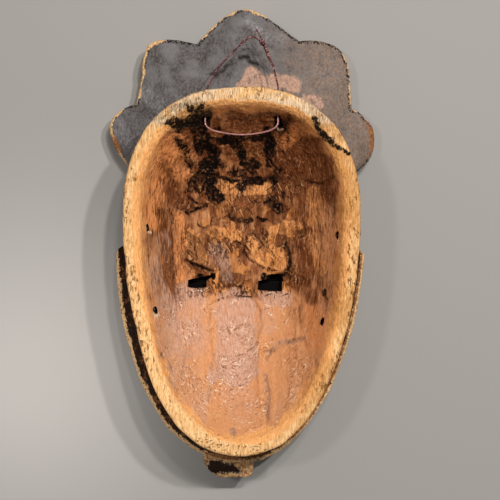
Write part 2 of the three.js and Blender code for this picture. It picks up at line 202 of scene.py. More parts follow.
def sunk_below(height: Callable[[Array, Array], Array], x: Array, y: Array, reach: float) -> Array:
    """Give how far a surface lies below its mean height at four places round each place."""
    around = sum(height(x + reach * dx, y + reach * dy) for dx, dy in ((1, 0), (-1, 0), (0, 1), (0, -1)))
    return around / 4 - height(x, y)


def routed(kind: type, *rows: tuple) -> tuple:
    """Build strokes or cuts from rows of numbers.

    Args:
        kind: The class to build.
        rows: For each one its route, as x and y by turns, and then its other values.

    Returns:
        One instance for each row.
    """
    return tuple(kind(tuple(zip(route[::2], route[1::2])), *rest) for route, *rest in rows)


def read_places(mesh: bpy.types.Mesh) -> Array:
    """Read the places of a mesh's corners, in millimetres."""
    flat = np.empty(len(mesh.vertices) * 3, dtype=np.float32)
    mesh.vertices.foreach_get("co", flat)
    return flat.reshape(-1, 3).astype(np.float64) / MM


def write_places(mesh: bpy.types.Mesh, place: Array) -> None:
    """Write the places of a mesh's corners, in metres."""
    mesh.vertices.foreach_set("co", (place * MM).astype(np.float32).ravel())
    mesh.update()


@dataclass
class Surface:
    """A mesh in the making: corners in millimetres, four-sided faces and triangles."""

    corners: Array
    quads: Array
    triangles: Array = field(default_factory=lambda: np.zeros((0, 3), dtype=np.int64))

    def signed_volume(self) -> float:
        """Give six times the volume inside, negative where the faces point inwards."""
        split = np.concatenate([self.quads[:, [0, 1, 2]], self.quads[:, [0, 2, 3]], self.triangles])
        a, b, c = (self.corners[split[:, n]] for n in range(3))
        return float(np.einsum("ij,ij->", a, np.cross(b, c)))

    def turned(self) -> tuple[Array, Array]:
        """Give the quads and triangles, turned so that they point out of the volume."""
        step = -1 if self.signed_volume() < 0 else 1
        return self.quads[:, ::step], self.triangles[:, ::step]

    def to_object(self, name: str) -> Piece:
        """Write the surface into a new object, in metres, and link it to the scene."""
        quads, triangles = self.turned()
        loops = np.concatenate([quads.ravel(), triangles.ravel()])
        starts = np.append(4 * np.arange(len(quads)), 4 * len(quads) + 3 * np.arange(len(triangles)))
        mesh = bpy.data.meshes.new(name)
        mesh.vertices.add(len(self.corners))
        mesh.vertices.foreach_set("co", (self.corners * MM).astype(np.float32).ravel())
        mesh.loops.add(len(loops))
        mesh.loops.foreach_set("vertex_index", loops.astype(np.int32))
        mesh.polygons.add(len(starts))
        mesh.polygons.foreach_set("loop_start", starts.astype(np.int32))
        mesh.update(calc_edges=True)
        piece = bpy.data.objects.new(name, mesh)
        bpy.context.scene.collection.objects.link(piece)
        return piece


def lofted(loops: Array) -> Surface:
    """Join closed loops, given as loops by points by three, into a tube whose ends are closed."""
    rows, count = loops.shape[:2]
    near = np.arange(rows * count).reshape(rows, count)
    far = np.roll(near, -1, axis=1)
    quads = np.stack([near[:-1], far[:-1], far[1:], near[1:]], axis=-1).reshape(-1, 4)
    first, last = near.size, near.size + 1
    corners = np.concatenate([loops.reshape(-1, 3), [loops[0].mean(axis=0)], [loops[-1].mean(axis=0)]])
    triangles = np.concatenate([
        np.stack([far[0], near[0], np.full(count, first)], axis=-1),
        np.stack([near[-1], far[-1], np.full(count, last)], axis=-1),
    ])
    return Surface(corners, quads, triangles)


def grid_normals(grid: Array) -> Array:
    """Give the unit normals of a grid of points, from the run of its rows and columns."""
    along, across = np.gradient(grid, axis=0), np.gradient(grid, axis=1)
    normals = np.cross(across, along)
    lengths = np.linalg.norm(normals, axis=-1, keepdims=True)
    upright = np.broadcast_to([0, 0, 1], normals.shape)
    return np.where(lengths > 1e-6, normals / np.maximum(lengths, 1e-6), upright)


@dataclass(frozen=True)
class BowlForm:
    """The mask's bowl: its egg-shaped outline, the face under it and the hollow in it."""

    centre_y: float = 20
    half_width: float = 95.5
    reach_up: float = 104
    reach_down: float = 193
    power_up: float = 2.4
    power_down: float = 2.1
    rim_z: float = 97
    rim_band: float = 8.5
    bevel_width: float = 6
    bevel_drop: float = 5
    face_inset: float = 5
    face_x: float = -5
    face_z: float = 15
    cheek_rise: float = 41
    cheek_power: float = 3.1
    hollow_floor: float = 31
    hollow_power: float = 4
    chin_ramp: float = 8

    @property
    def mouth_inset(self) -> float:
        """Distance from the outline to the edge of the hollow, across band and bevel."""
        return self.rim_band + self.bevel_width

    def share(self, x: Array, y: Array, inset: float = 0) -> Array:
        """Give how far out each place is, as a share of the way from the centre to the outline.

        The outline is a superellipse whose reach and power differ above and below its centre.
        """
        dy = y - self.centre_y
        reach = np.where(dy > 0, self.reach_up, self.reach_down) - inset
        power = np.where(dy > 0, self.power_up, self.power_down)
        across = (np.abs(x) / (self.half_width - inset)) ** power
        return (across + (np.abs(dy) / reach) ** power) ** (1 / power)

    def depth_inside(self, x: Array, y: Array) -> Array:
        """Give each place's distance inside the outline, in millimetres, negative outside it."""
        here, step = self.share(x, y), 0.5
        slope_x = (self.share(x + step, y) - self.share(x - step, y)) / (2 * step)
        slope_y = (self.share(x, y + step) - self.share(x, y - step)) / (2 * step)
        return (1 - here) / np.maximum(np.hypot(slope_x, slope_y), 1e-4)

    def radius(self, cos: Array, sin: Array) -> Array:
        """Give the distance from the centre to the outline along each direction."""
        reach = np.where(sin > 0, self.reach_up, self.reach_down)
        power = np.where(sin > 0, self.power_up, self.power_down)
        total = (np.abs(cos) / self.half_width) ** power + (np.abs(sin) / reach) ** power
        return total ** (-1 / power)

    def egg_grid(self, inset: float, across: int, along: int) -> tuple[Array, Array, Array]:
        """Bend a square grid to fill the egg-shaped area inside the outline.

        A square's place (u, v) moves to the disc at (u * root(1 - v*v/2), v * root(1 - u*u/2)),
        and the disc is stretched to the superellipse.

        Args:
            inset: How far inside the outline the grid's edge lies, in millimetres.
            across: Number of cells from side to side.
            along: Number of cells from chin to crest.

        Returns:
            The grid's x, its y and the share of the way out from the centre.
        """
        u, v = np.meshgrid(np.linspace(-1, 1, across + 1), np.linspace(-1, 1, along + 1))
        disc_x = u * np.sqrt(1 - v * v / 2)
        disc_y = v * np.sqrt(1 - u * u / 2)
        radius = np.hypot(disc_x, disc_y)
        reach = np.where(disc_y > 0, self.reach_up, self.reach_down) - inset
        power = np.where(disc_y > 0, self.power_up, self.power_down)
        egg = (np.abs(disc_x) ** power + np.abs(disc_y) ** power) ** (1 / power)
        scale = np.where(egg > 0, radius / np.maximum(egg, 1e-9), 1)
        x = disc_x * scale * (self.half_width - inset)
        y = self.centre_y + disc_y * scale * reach
        return x, y, radius

    def face_height(self, x: Array, y: Array, share: Array) -> Array:
        """Give the face's height above the floor: a shell that rolls up into the side walls."""
        within = np.minimum(1, share)
        roll = 1 - (1 - within**self.cheek_power) ** (1 / self.cheek_power)
        features = FaceCarving().relief(x - self.face_x, y) * (1 - ease(0.8, 0.97, share))
        features = features + self.hairline(x, y, share)
        return np.maximum(0, self.face_z + self.cheek_rise * roll - features)

    def face_at(self, x: Array, y: Array) -> Array:
        """Give the face's height above the floor at places of the plan."""
        return self.face_height(x, y, np.minimum(1, self.share(x, y, self.face_inset)))

    def hollow_at(self, x: Array, y: Array) -> Array:
        """Give the smooth hollow's height above the floor at places of the plan."""
        return self.hollow_height(x, y, np.minimum(1, self.share(x, y, self.mouth_inset)))

    def outwards(self, plan: Array) -> Array:
        """Give the direction away from the bowl's centre, one long past its first millimetre."""
        offset = plan - np.array([0, self.centre_y])
        return offset / np.maximum(np.hypot(*offset.T), 1)[:, None]

    def hairline(self, x: Array, y: Array, share: Array) -> Array:
        """Give the raised band where face and crest meet, scalloped like a row of curls."""
        angle = np.arctan2(y - self.centre_y, x - self.face_x)
        wave = 0.02 * np.abs(np.sin(angle * 7))
        offset = (share - 0.765 - wave) / 0.055
        band = 10 * np.exp(-offset * offset) * ease(0.05, 0.5, np.sin(angle))
        notches = 1 - 0.12 * ease(0.6, 1, np.abs(np.sin(angle * 28)))
        return np.where(angle > 0, band * notches, 0)

    def hollow_height(self, x: Array, y: Array, share: Array) -> Array:
        """Give the hollow's height above the floor: a bowl with a flattish bottom.

        The height rises with the fourth power of the share. A pocket behind the forehead and a
        trough behind the nose go a little deeper, and the floor climbs towards the chin.
        """
        down = ease(self.centre_y, -self.reach_down, y)
        floor = self.hollow_floor + self.chin_ramp * ease(0.3, 1, down)
        edge = self.rim_z - self.bevel_drop
        pocket = 5 * bump(x, y - 55, 55, 50)
        across = np.maximum(0, 1 - ((x + 4) / 19) ** 2)
        along = ease(-146, -128, y) * (1 - ease(-38, -26, y))
        trough = 4 * across * along
        return floor + (edge - floor) * share**self.hollow_power - pocket - trough


@dataclass(frozen=True)
class FaceCarving:
    """The features of the face, a calm stylised one, measured from its middle line."""

    eye_offset: float = 30
    eye_y: float = -36
    mouth_y: float = -116
    nose_length: float = 80

    def relief(self, dx: Array, y: Array) -> Array:
        """Give how far the features stand out of the face, in millimetres.

        Args:
            dx: Places across, from the face's middle line.
            y: Places along the mask.

        Returns:
            The relief, made of soft hills, arched ridges and half ellipses.
        """
        side = np.abs(dx)
        forehead = 9 * bump(dx, y - 52, 78, 66)
        cheeks = 4 * bump(side - 48, y + 72, 34, 40)
        chin = 8 * bump(dx, y + 152, 28, 20)
        features = self.nose(side, y) + self.brows(side, y) + self.eyes(side, y) + self.mouth(dx, y)
        return forehead + cheeks + chin + features

    def nose(self, side: Array, y: Array) -> Array:
        """Give the nose: a long ridge that widens and rises to its tip, and its two wings."""
        along = (-4 - y) / self.nose_length
        half = 5.5 + 9 * ease(0.35, 1, along)
        ends = ease(-0.18, 0.1, along) * (1 - ease(0.98, 1.06, along))
        ridge = (6 + 12 * ease(0, 1, along)) * np.maximum(0, 1 - (side / half) ** 2.2)
        wings = 6 * bump(side - 11.5, y + 78, 7, 8)
        return np.maximum(ridge * ends, wings)

    def brows(self, side: Array, y: Array) -> Array:
        """Give the brows: two arched ridges that spring from the nose, nicked like hairs."""
        t = (side - self.eye_offset) / 42
        offset = (y - 2 - 13 * (1 - 1.9 * t * t)) / 5.5
        ends = (1 - ease(58, 72, side)) * ease(-4, 4, side)
        nicks = 1 - 0.16 * ease(0.55, 1, np.abs(np.sin(side * 0.75 + y * 0.25)))
        return 6 * np.exp(-offset * offset) * ends * nicks

    def eyes(self, side: Array, y: Array) -> Array:
        """Give the eyes: a shallow socket, an almond lid in it and the slit between the lids."""
        dx, dy = side - self.eye_offset, y - self.eye_y
        socket = 5 * bump(dx, dy - 3, 36, 30)
        almond = np.hypot(dx / 20, dy / 10.5)
        slit = np.where(almond < 0.93, 2.4 * np.exp(-(((dy - 1) / 1.6) ** 2)), 0)
        return 6 * dome(almond) - slit - socket

    def mouth(self, dx: Array, y: Array) -> Array:
        """Give the mouth: full lips, parted by a groove, on a low swelling."""
        up = (y - self.mouth_y) / 10.5
        lips = 9 * dome(np.hypot(dx / 23, up)) * (1 - 0.6 * np.exp(-((up / 0.22) ** 2)))
        return lips + 4 * bump(dx, y + 114, 40, 30)


@dataclass(frozen=True)
class Cut:
    """A mark of the tool in the hollow: a groove, a ledge with its left side higher, or both."""

    route: Route
    groove: float = 0
    ledge: float = 0
    width: float = 1.6
    fade: float = 9


@dataclass(frozen=True)
class HollowCarving:
    """The gouge work in the hollow: chopped facets round the eyes, smoother strokes elsewhere."""

    form: BowlForm
    eyes_y: float = -46
    brow_y: float = 24
    chop_half_width: float = 46
    chop_size: tuple[float, float] = (10, 19)
    brow_size: tuple[float, float] = (11, 14)
    chop_depth: float = 2.6
    brow_depth: float = 1.5
    floor_depth: float = 1
    wall_depth: float = 0.8
    cuts: tuple[Cut, ...] = routed(
        Cut,
        ((-58, 59, -55, 43, -48, 27, -35, 29, -23, 36), 0.8, 1.2),
        ((54, 51, 65, 48, 76, 53, 82, 61), 0.9, 1.4),
        ((-43, 53, -33, 57, -25, 56, -4, 54, 21, 54), 1.5, 0, 1.3),
        ((46, 14, 30, 19, 8, 17, -10, 22.5, -24, 17), 0.6, 1.4), ((-30, 53, -26, 42, -18, 36), 0.9, 0, 1),
        ((-45, 38, -37, 33, -30, 31), 0.9, 0, 0.9), ((-37, 14, -22, 5, 0, -1, 7, -8), 1.1, 1.8, 1),
        ((-46, 12, -48, -3, -46, -15), 1, 2.2, 1.1), ((-38, 6, -40, -6, -37, -17), 1, 1.6, 0.9),
        ((-29, 2, -30, -8, -29, -22), 0.7, 1.8, 0.9), ((-47, -15, -37, -20, -25, -24), 1.8, 3.2, 1.1),
        ((-19, -22, -20, -40, -16, -47), 0.8, 2, 1), ((-25.5, -24, -25, -43), 0.6, -1.6, 1),
        ((5, 3, 2, -8, 6, -15, 20, -23, 37, -26), 1.3, 3, 1.1),
        ((37, -1, 40, -10, 41, -18, 37, -26), 1.5, -2.4, 1.4),
        ((16, -31, 26, -28, 37, -28.5), 1, 1.6, 0.9), ((13, -35, 11, -44), 0.8, 1.4, 0.9),
        ((-26, -52, -15, -47.5, 5, -46.5, 16, -49), 1, 1.8, 1), ((-16, -38.5, 5, -37.5), 0.6, 1.4, 1),
        ((-25, -53, -27.5, -66, -26, -80, -23, -100), 0.5, -1.2, 1),
        ((10, -50, 15.5, -58, 16.5, -70, 12, -86), 0.5, 1.4, 1),
        ((19, -102, 22, -93, 30, -85, 43, -81, 51, -80, 53, -86), 0.7, 1.4, 1.1),
        ((20, -112, 22.5, -127, 20, -144), 0.7, 0.6, 1), ((-7, -153, -8, -161), 0.9, 0, 1.2),
        ((-65, -86, -60, -100, -55, -112), 0.9, 1), ((62, 26, 66, 2, 64, -30, 58, -58), 0.4, 1.1),
        ((-62, 34, -58, 8, -58, -22, -56, -48), 0.5, -1.1),
    )

    chips: int = 80
    chip_left: float = -50
    chip_right: float = 54
    chip_top: float = 92

    def all_cuts(self) -> list[Cut]:
        """Give the named cuts and many small chips with random places, lengths and directions."""
        number = np.arange(self.chips)
        draws = [hashed([number, number * 0], seed) for seed in range(201, 207)]
        x = self.chip_left + (self.chip_right - self.chip_left) * draws[0]
        y = self.eyes_y + (self.chip_top - self.eyes_y) * draws[1]
        angle = np.pi * (0.5 + 0.75 * (draws[2] - 0.5))
        half = 2.5 + 6 * draws[3] ** 2
        ends = np.stack([x - half * np.cos(angle), y - half * np.sin(angle),
                         x + half * np.cos(angle), y + half * np.sin(angle)], axis=-1)
        found = list(self.cuts)
        for (ax, ay, bx, by), groove, ledge in zip(ends, 0.3 + 0.9 * draws[4], 3 * draws[5] - 1.5):
            found.append(Cut(((ax, ay), (bx, by)), groove, ledge, 0.9, 5))
        return found

    def relief(self, x: Array, y: Array) -> Array:
        """Give how far the tool work stands out of the hollow's smooth form, in millimetres.

        Four sizes of facet are laid side by side, each weighted by its own zone, and the cuts
        are bell-shaped grooves and steps that level out with distance.
        """
        share = self.form.share(x, y, self.form.mouth_inset)
        upper, chop_zone, brow_zone = self.zones(x, y)
        wall = ease(0.62, 0.8, share)
        chopped = tool_facets(x, y, *self.chop_size, 11) * self.chop_depth * chop_zone
        brow = tool_facets(x + 0.3 * y, y, *self.brow_size, 17) * self.brow_depth * brow_zone
        floor = tool_facets(x, y, 17, 29, 23) * self.floor_depth * (1 - upper)
        walls = tool_facets(x, y, 6.5, 36, 29) * self.wall_depth * wall
        place = np.stack([x, y], axis=-1)
        rough = noise(place, 7, 37, 3) * (0.14 + 0.2 * upper)
        total = chopped + brow * (1 - 0.5 * wall) + floor + walls + rough
        for cut in self.all_cuts():
            distance, side = off_route(x, y, cut.route)
            total = total - cut.groove * np.exp(-((distance / cut.width) ** 2))
            step = 0.5 * cut.ledge * side * np.tanh(distance / 0.9) * np.exp(-distance / cut.fade)
            total = total + step
        return total * (1 - 0.85 * ease(0.95, 1, share))

    def zones(self, x: Array, y: Array) -> tuple[Array, Array, Array]:
        """Give the zones above the eyes' lower ledge: all of it, the chopped middle, the forehead."""
        upper = ease(self.eyes_y - 6, self.eyes_y + 4, y)
        below_brow = 1 - ease(self.brow_y - 12, self.brow_y + 12, y)
        middle = 1 - ease(self.chop_half_width - 8, self.chop_half_width + 8, np.abs(x + 3))
        return upper, upper * below_brow * middle, upper * (1 - below_brow)

    def crevice(self, x: Array, y: Array) -> Array:
        """Give how deep each place lies below the ones round it, in millimetres: how strongly shade is
        painted into the creases.
        """
        return sunk_below(self.relief, x, y, 2)

    def cut_shade_and_highlight(self, x: Array, y: Array) -> tuple[Array, Array]:
        """Give where shade is painted along the cuts, in their grooves and below ledges, and where highlight
        is painted above ledges.
        """
        dark, pale = np.zeros(x.shape), np.zeros(x.shape)
        broken = np.clip(0.7 + 1.1 * noise(np.stack([x, y], axis=-1), 4, 141, 3), 0, 1.3)
        for cut in self.all_cuts():
            distance, side = off_route(x, y, cut.route)
            near = np.abs(side) * broken
            groove = 0.6 * cut.groove * np.exp(-((distance / (0.7 * cut.width)) ** 2))
            below = np.where(side * cut.ledge < 0, 0.22 * abs(cut.ledge) * np.exp(-distance / 1.6), 0)
            above = np.where(side * cut.ledge > 0, 0.3 * abs(cut.ledge) * np.exp(-distance / 1.6), 0)
            dark = np.maximum(dark, (groove + below) * near)
            pale = np.maximum(pale, above * near * (distance > 0.8))
        return dark * (1 - 0.3 * ease(-46, -54, y)), pale


def patch_body(grid: Array, centre: tuple[float, float], walls: Route) -> Surface:
    """Close a grid of points with a wall of loops over its edge and a flat cap on the last.

    Args:
        grid: Corners in millimetres, as rows by columns by three.
        centre: The middle of the cap, from which the walls move outwards.
        walls: For each loop how far it moves out from the grid's edge, and its height.

    Returns:
        The closed surface.
    """
    rows, columns = grid.shape[:2]
    index = np.arange(rows * columns).reshape(rows, columns)
    quads = [np.stack([index[:-1, :-1], index[:-1, 1:], index[1:, 1:], index[1:, :-1]], axis=-1)]
    quads[0] = quads[0].reshape(-1, 4)
    edge = np.concatenate([index[0, :-1], index[:-1, -1], index[-1, :0:-1], index[:0:-1, 0]])
    corners = [grid.reshape(-1, 3)]
    base = corners[0][edge]
    offset = base[:, :2] - np.array(centre)
    length = np.linalg.norm(offset, axis=1, keepdims=True)
    previous, start = edge, rows * columns
    for outset, height in walls:
        ring = np.array(centre) + offset * (1 + outset / length)
        corners.append(np.column_stack([ring, np.full(len(edge), height)]))
        current = start + np.arange(len(edge))
        quads.append(np.stack([
            previous, np.roll(previous, -1), np.roll(current, -1), current], axis=-1)[:, ::-1])
        previous, start = current, start + len(edge)
    corners.append(np.array([[*centre, walls[-1][1]]]))
    triangles = np.stack([previous, np.roll(previous, -1), np.full(len(edge), start)], axis=-1)
    # The grid's faces and the walls' run opposite ways round the edge they share
    quads = np.concatenate([quads[0][:, ::-1], *[wall[:, ::-1] for wall in quads[1:]]])
    return Surface(np.concatenate(corners), quads, triangles)


@dataclass(frozen=True)
class Crest:
    """The five-lobed crest: a plate that sweeps forward from the bowl to the lobes' tips."""

    form: BowlForm
    start: tuple[float, float] = (-99, 65.5)
    lobes: tuple = (
        (((-117, 85), (-124, 112)), (-91.5, 119)),
        (((-80, 169), (-94, 180)), (-38.5, 170.5)),
        (((1.5, 216), (7.5, 203)), (49, 173)),
        (((97, 176.5), (91.5, 151.5)), (94, 114)),
        (((117, 107), (122, 75.5)), (101, 61.5)),
    )
    stations_per_lobe: int = 84
    back_at_bowl: float = 36
    back_at_tip: float = 23
    front_at_bowl: float = 12
    top_lift: float = 0.02
    border: float = 9
    field_depth: float = 3.5
    grooves: float = 3
    groove_depth: float = 1.6
    side_y: float = 96
    root: float = 0.75
    worn_edge: float = 2.4

    def outline(self) -> tuple[Array, Array]:
        """Follow the lobes' curves at an even pace.

        Each lobe is a cubic curve from notch to notch, sampled finely and then at equal steps of
        its length.

        Returns:
            The stations' places, and how far each is through its lobe from 0 to 1.
        """
        places, through = [], []
        start = np.array(self.start)
        for handles, end in self.lobes:
            t = np.linspace(0, 1, 400)[:, None]
            near, far = (np.array(handle) for handle in handles)
            curve = (1 - t) ** 3 * start + 3 * (1 - t) ** 2 * t * near
            curve = curve + 3 * (1 - t) * t**2 * far + t**3 * np.array(end)
            run = run_along(curve)
            pace = np.linspace(0, 1, self.stations_per_lobe + 1)[1 if places else 0:]
            places.append(paced(curve, run / run[-1], pace))
            through.append(pace)
            start = np.array(end)
        return np.concatenate(places), np.concatenate(through)

    def surface(self) -> Surface:
        """Build the plate from cross-sections that run out from the bowl to each station.

        A cross-section goes out along the carved front, over the raised border and the worn
        edge, and back along the smooth back.

        Returns:
            The closed plate, whose inner part lies inside the bowl's wood.
        """
        form = self.form
        place, through = self.outline()
        offset = place - np.array([0, form.centre_y])
        tip = np.hypot(*offset.T)
        cos, sin = offset[:, 0] / tip, offset[:, 1] / tip
        rough = noise(place, 14, 31, 3) * 0.7 - 1.6 * ease(0.45, 0.9, noise(place, 9, 47, 1))
        bowl = form.radius(cos, sin)
        root = bowl * self.root
        lift = self.top_lift * np.maximum(0, place[:, 1] - self.side_y)
        tip = tip + rough - 0.4

        def blend(at_bowl: float, at_tip: float, radius: Array) -> Array:
            """Blend a height from the bowl's side to the tip."""
            return at_bowl + (at_tip - at_bowl) * ease(0, 1, (radius - bowl) / (tip - bowl)) + lift

        inner = tip - self.border
        section = []
        for share in np.linspace(0, 1, 15):
            radius = root + (inner - 2.5 - root) * share
            grooved = np.sin(np.pi * self.grooves * through) ** 2
            height = blend(self.front_at_bowl, 0, radius) + self.field_depth
            section.append((radius, height + self.groove_depth * grooved))
        section.append((inner - 1.2, blend(self.front_at_bowl, 0, inner) + self.field_depth * 0.45))
        section.append((inner, blend(self.front_at_bowl, 0, inner)))
        section.append((inner + self.border * 0.35, blend(self.front_at_bowl, 0, inner + 2)))
        edge = self.worn_edge
        front, back = lift, self.back_at_tip + lift
        for turn in np.linspace(0, math.pi / 2, 5):
            section.append((tip - edge + edge * math.sin(turn), front + edge - edge * math.cos(turn)))
        for turn in np.linspace(math.pi / 2, 0, 6):
            section.append((tip - edge + edge * math.sin(turn), back - edge + edge * math.cos(turn)))
        for share in np.linspace(0.96, 0, 18):
            radius = bowl + (tip - edge - bowl) * share
            section.append((radius, blend(self.back_at_bowl, self.back_at_tip, radius)))
        section.append((root, np.full_like(root, self.back_at_bowl)))
        radius = np.stack([np.broadcast_to(item[0], tip.shape) for item in section], axis=1)
        height = np.stack([np.broadcast_to(item[1], tip.shape) for item in section], axis=1)
        x = cos[:, None] * radius
        y = form.centre_y + sin[:, None] * radius
        return lofted(np.stack([x, y, height], axis=-1))


@dataclass(frozen=True)
class JawFrill:
    """The frill that stands out round the lower half of the bowl, carved in teeth in front."""

    form: BowlForm
    left_half_width: float = 108
    right_half_width: float = 104.5
    reach_down: float = 206
    left_power: float = 2.25
    right_power: float = 2
    start_y: float = -5
    end_y: float = -9
    back_z: float = 46
    front_z: float = 31
    teeth: int = 17
    steps_per_tooth: int = 22
    tooth_height: float = 4
    root: float = 0.74
    worn_edge: float = 1.8
    left_end_round: float = 7
    right_end_round: float = 4.2

    def path(self) -> tuple[Array, Array]:
        """Follow the frill's edge, a half superellipse whose halves differ in width and power.

        Returns:
            The stations' places, and how far each is through its tooth from 0 to 1.
        """
        starts = [
            math.asin(((self.form.centre_y - y) / self.reach_down) ** (power / 2))
            for y, power in ((self.start_y, self.left_power), (self.end_y, self.right_power))
        ]
        steps = self.teeth * self.steps_per_tooth
        angle = np.linspace(starts[0], math.pi - starts[1], steps + 1)
        left = angle < math.pi / 2
        power = np.where(left, self.left_power, self.right_power)
        half_width = np.where(left, self.left_half_width, self.right_half_width)
        x = -half_width * np.sign(np.cos(angle)) * np.abs(np.cos(angle)) ** (2 / power)
        y = -self.reach_down * np.sin(angle) ** (2 / power)
        through = np.arange(steps + 1) / self.steps_per_tooth % 1
        return np.stack([x, y + self.form.centre_y], axis=-1), through

    def surface(self) -> Surface:
        """Build the frill from cross-sections along its path.

        Returns:
            The closed frill, whose inner part lies inside the bowl's wood.
        """
        edge_path, through = self.path()
        front = self.front_z + self.tooth_height * np.abs(through - 0.5) * 2
        path = edge_path - np.array([0, self.form.centre_y])
        length = np.hypot(*path.T)
        run = run_along(path)
        rounded = self.rounding(run, self.left_end_round) + self.rounding(run[-1] - run, self.right_end_round)
        rough = (noise(path, 16, 61, 3) * 0.8 - 0.5 - rounded) / length

        edge = self.worn_edge
        section = [(self.root, 0, front + 2), (0.86, 0, front + 1), (0.97, 0, front)]
        for turn in np.linspace(0, math.pi / 2, 4):
            section.append((1, edge * (math.sin(turn) - 1), front + 1 + edge * (1 - math.cos(turn))))
        for turn in np.linspace(math.pi / 2, 0, 5):
            section.append((1, edge * (math.sin(turn) - 1), self.back_z - edge * (1 - math.cos(turn))))
        section += [(0.975, 0, self.back_z - 0.3), (0.955, 0, self.back_z - 1)]
        section += [(0.93, 0, self.back_z - 2.2), (0.905, 0, self.back_z - 2.6)]
        section += [(0.88, 0, self.back_z - 1.6), (self.root, 0, self.back_z)]
        ring = []
        for share, inwards, height in section:
            scale = (share + inwards / length + rough)[:, None]
            flat = path * scale + np.array([0, self.form.centre_y])
            ring.append(np.column_stack([flat, np.broadcast_to(height, length.shape)]))
        return lofted(np.stack(ring, axis=1))

    @staticmethod
    def rounding(run: Array, radius: float) -> Array:
        """Give how far a quarter circle at an end draws the edge in, at each distance from the end."""
        return radius - np.sqrt(radius**2 - np.clip(radius - run, 0, radius) ** 2)


@dataclass(frozen=True)
class ChinTab:
    """The tab under the chin, with worn edges and slanted lower corners."""

    left: float = -33
    right: float = 10
    top: float = -172
    bottom: float = -200.4
    slant: float = 13
    front_z: float = 22
    back_z: float = 38
    worn_edge: float = 2.4

    def surface(self) -> Surface:
        """Build the tab as stacked outlines that shrink towards its two faces.

        Returns:
            The closed tab, whose upper part lies inside the chin's wood.
        """
        route = np.array([
            (self.left, self.top), (self.left, self.bottom + self.slant),
            (self.left + 4, self.bottom + 7.5), (self.left + 9, self.bottom + 3),
            (self.left + self.slant + 2, self.bottom), (self.right - 3, self.bottom + 1),
            (self.right - 0.8, self.bottom + 5), (self.right, self.bottom + self.slant),
            (self.right, self.top), (self.left, self.top),
        ])
        run = run_along(route)
        outline = paced(route, run, np.linspace(0, run[-1], 121)[:-1])
        outline = 0.5 * outline + 0.25 * (np.roll(outline, 1, axis=0) + np.roll(outline, -1, axis=0))
        middle = outline.mean(axis=0)
        outline = outline + noise(outline, 7, 71, 2)[:, None] * 0.4 * np.array([0.7, 1])
        edge = self.worn_edge
        rings = []
        for inset, height in [
            (8, self.front_z), (edge, self.front_z), (edge * 0.3, self.front_z + edge * 0.3),
            (0, self.front_z + edge), (0, self.back_z - edge),
            (edge * 0.3, self.back_z - edge * 0.3), (edge, self.back_z), (8, self.back_z),
        ]:
            offset = outline - middle
            scale = 1 - inset / np.hypot(*offset.T)
            ring = middle + offset * scale[:, None]
            rings.append(np.column_stack([ring, np.full(len(ring), height)]))
        return lofted(np.stack(rings))


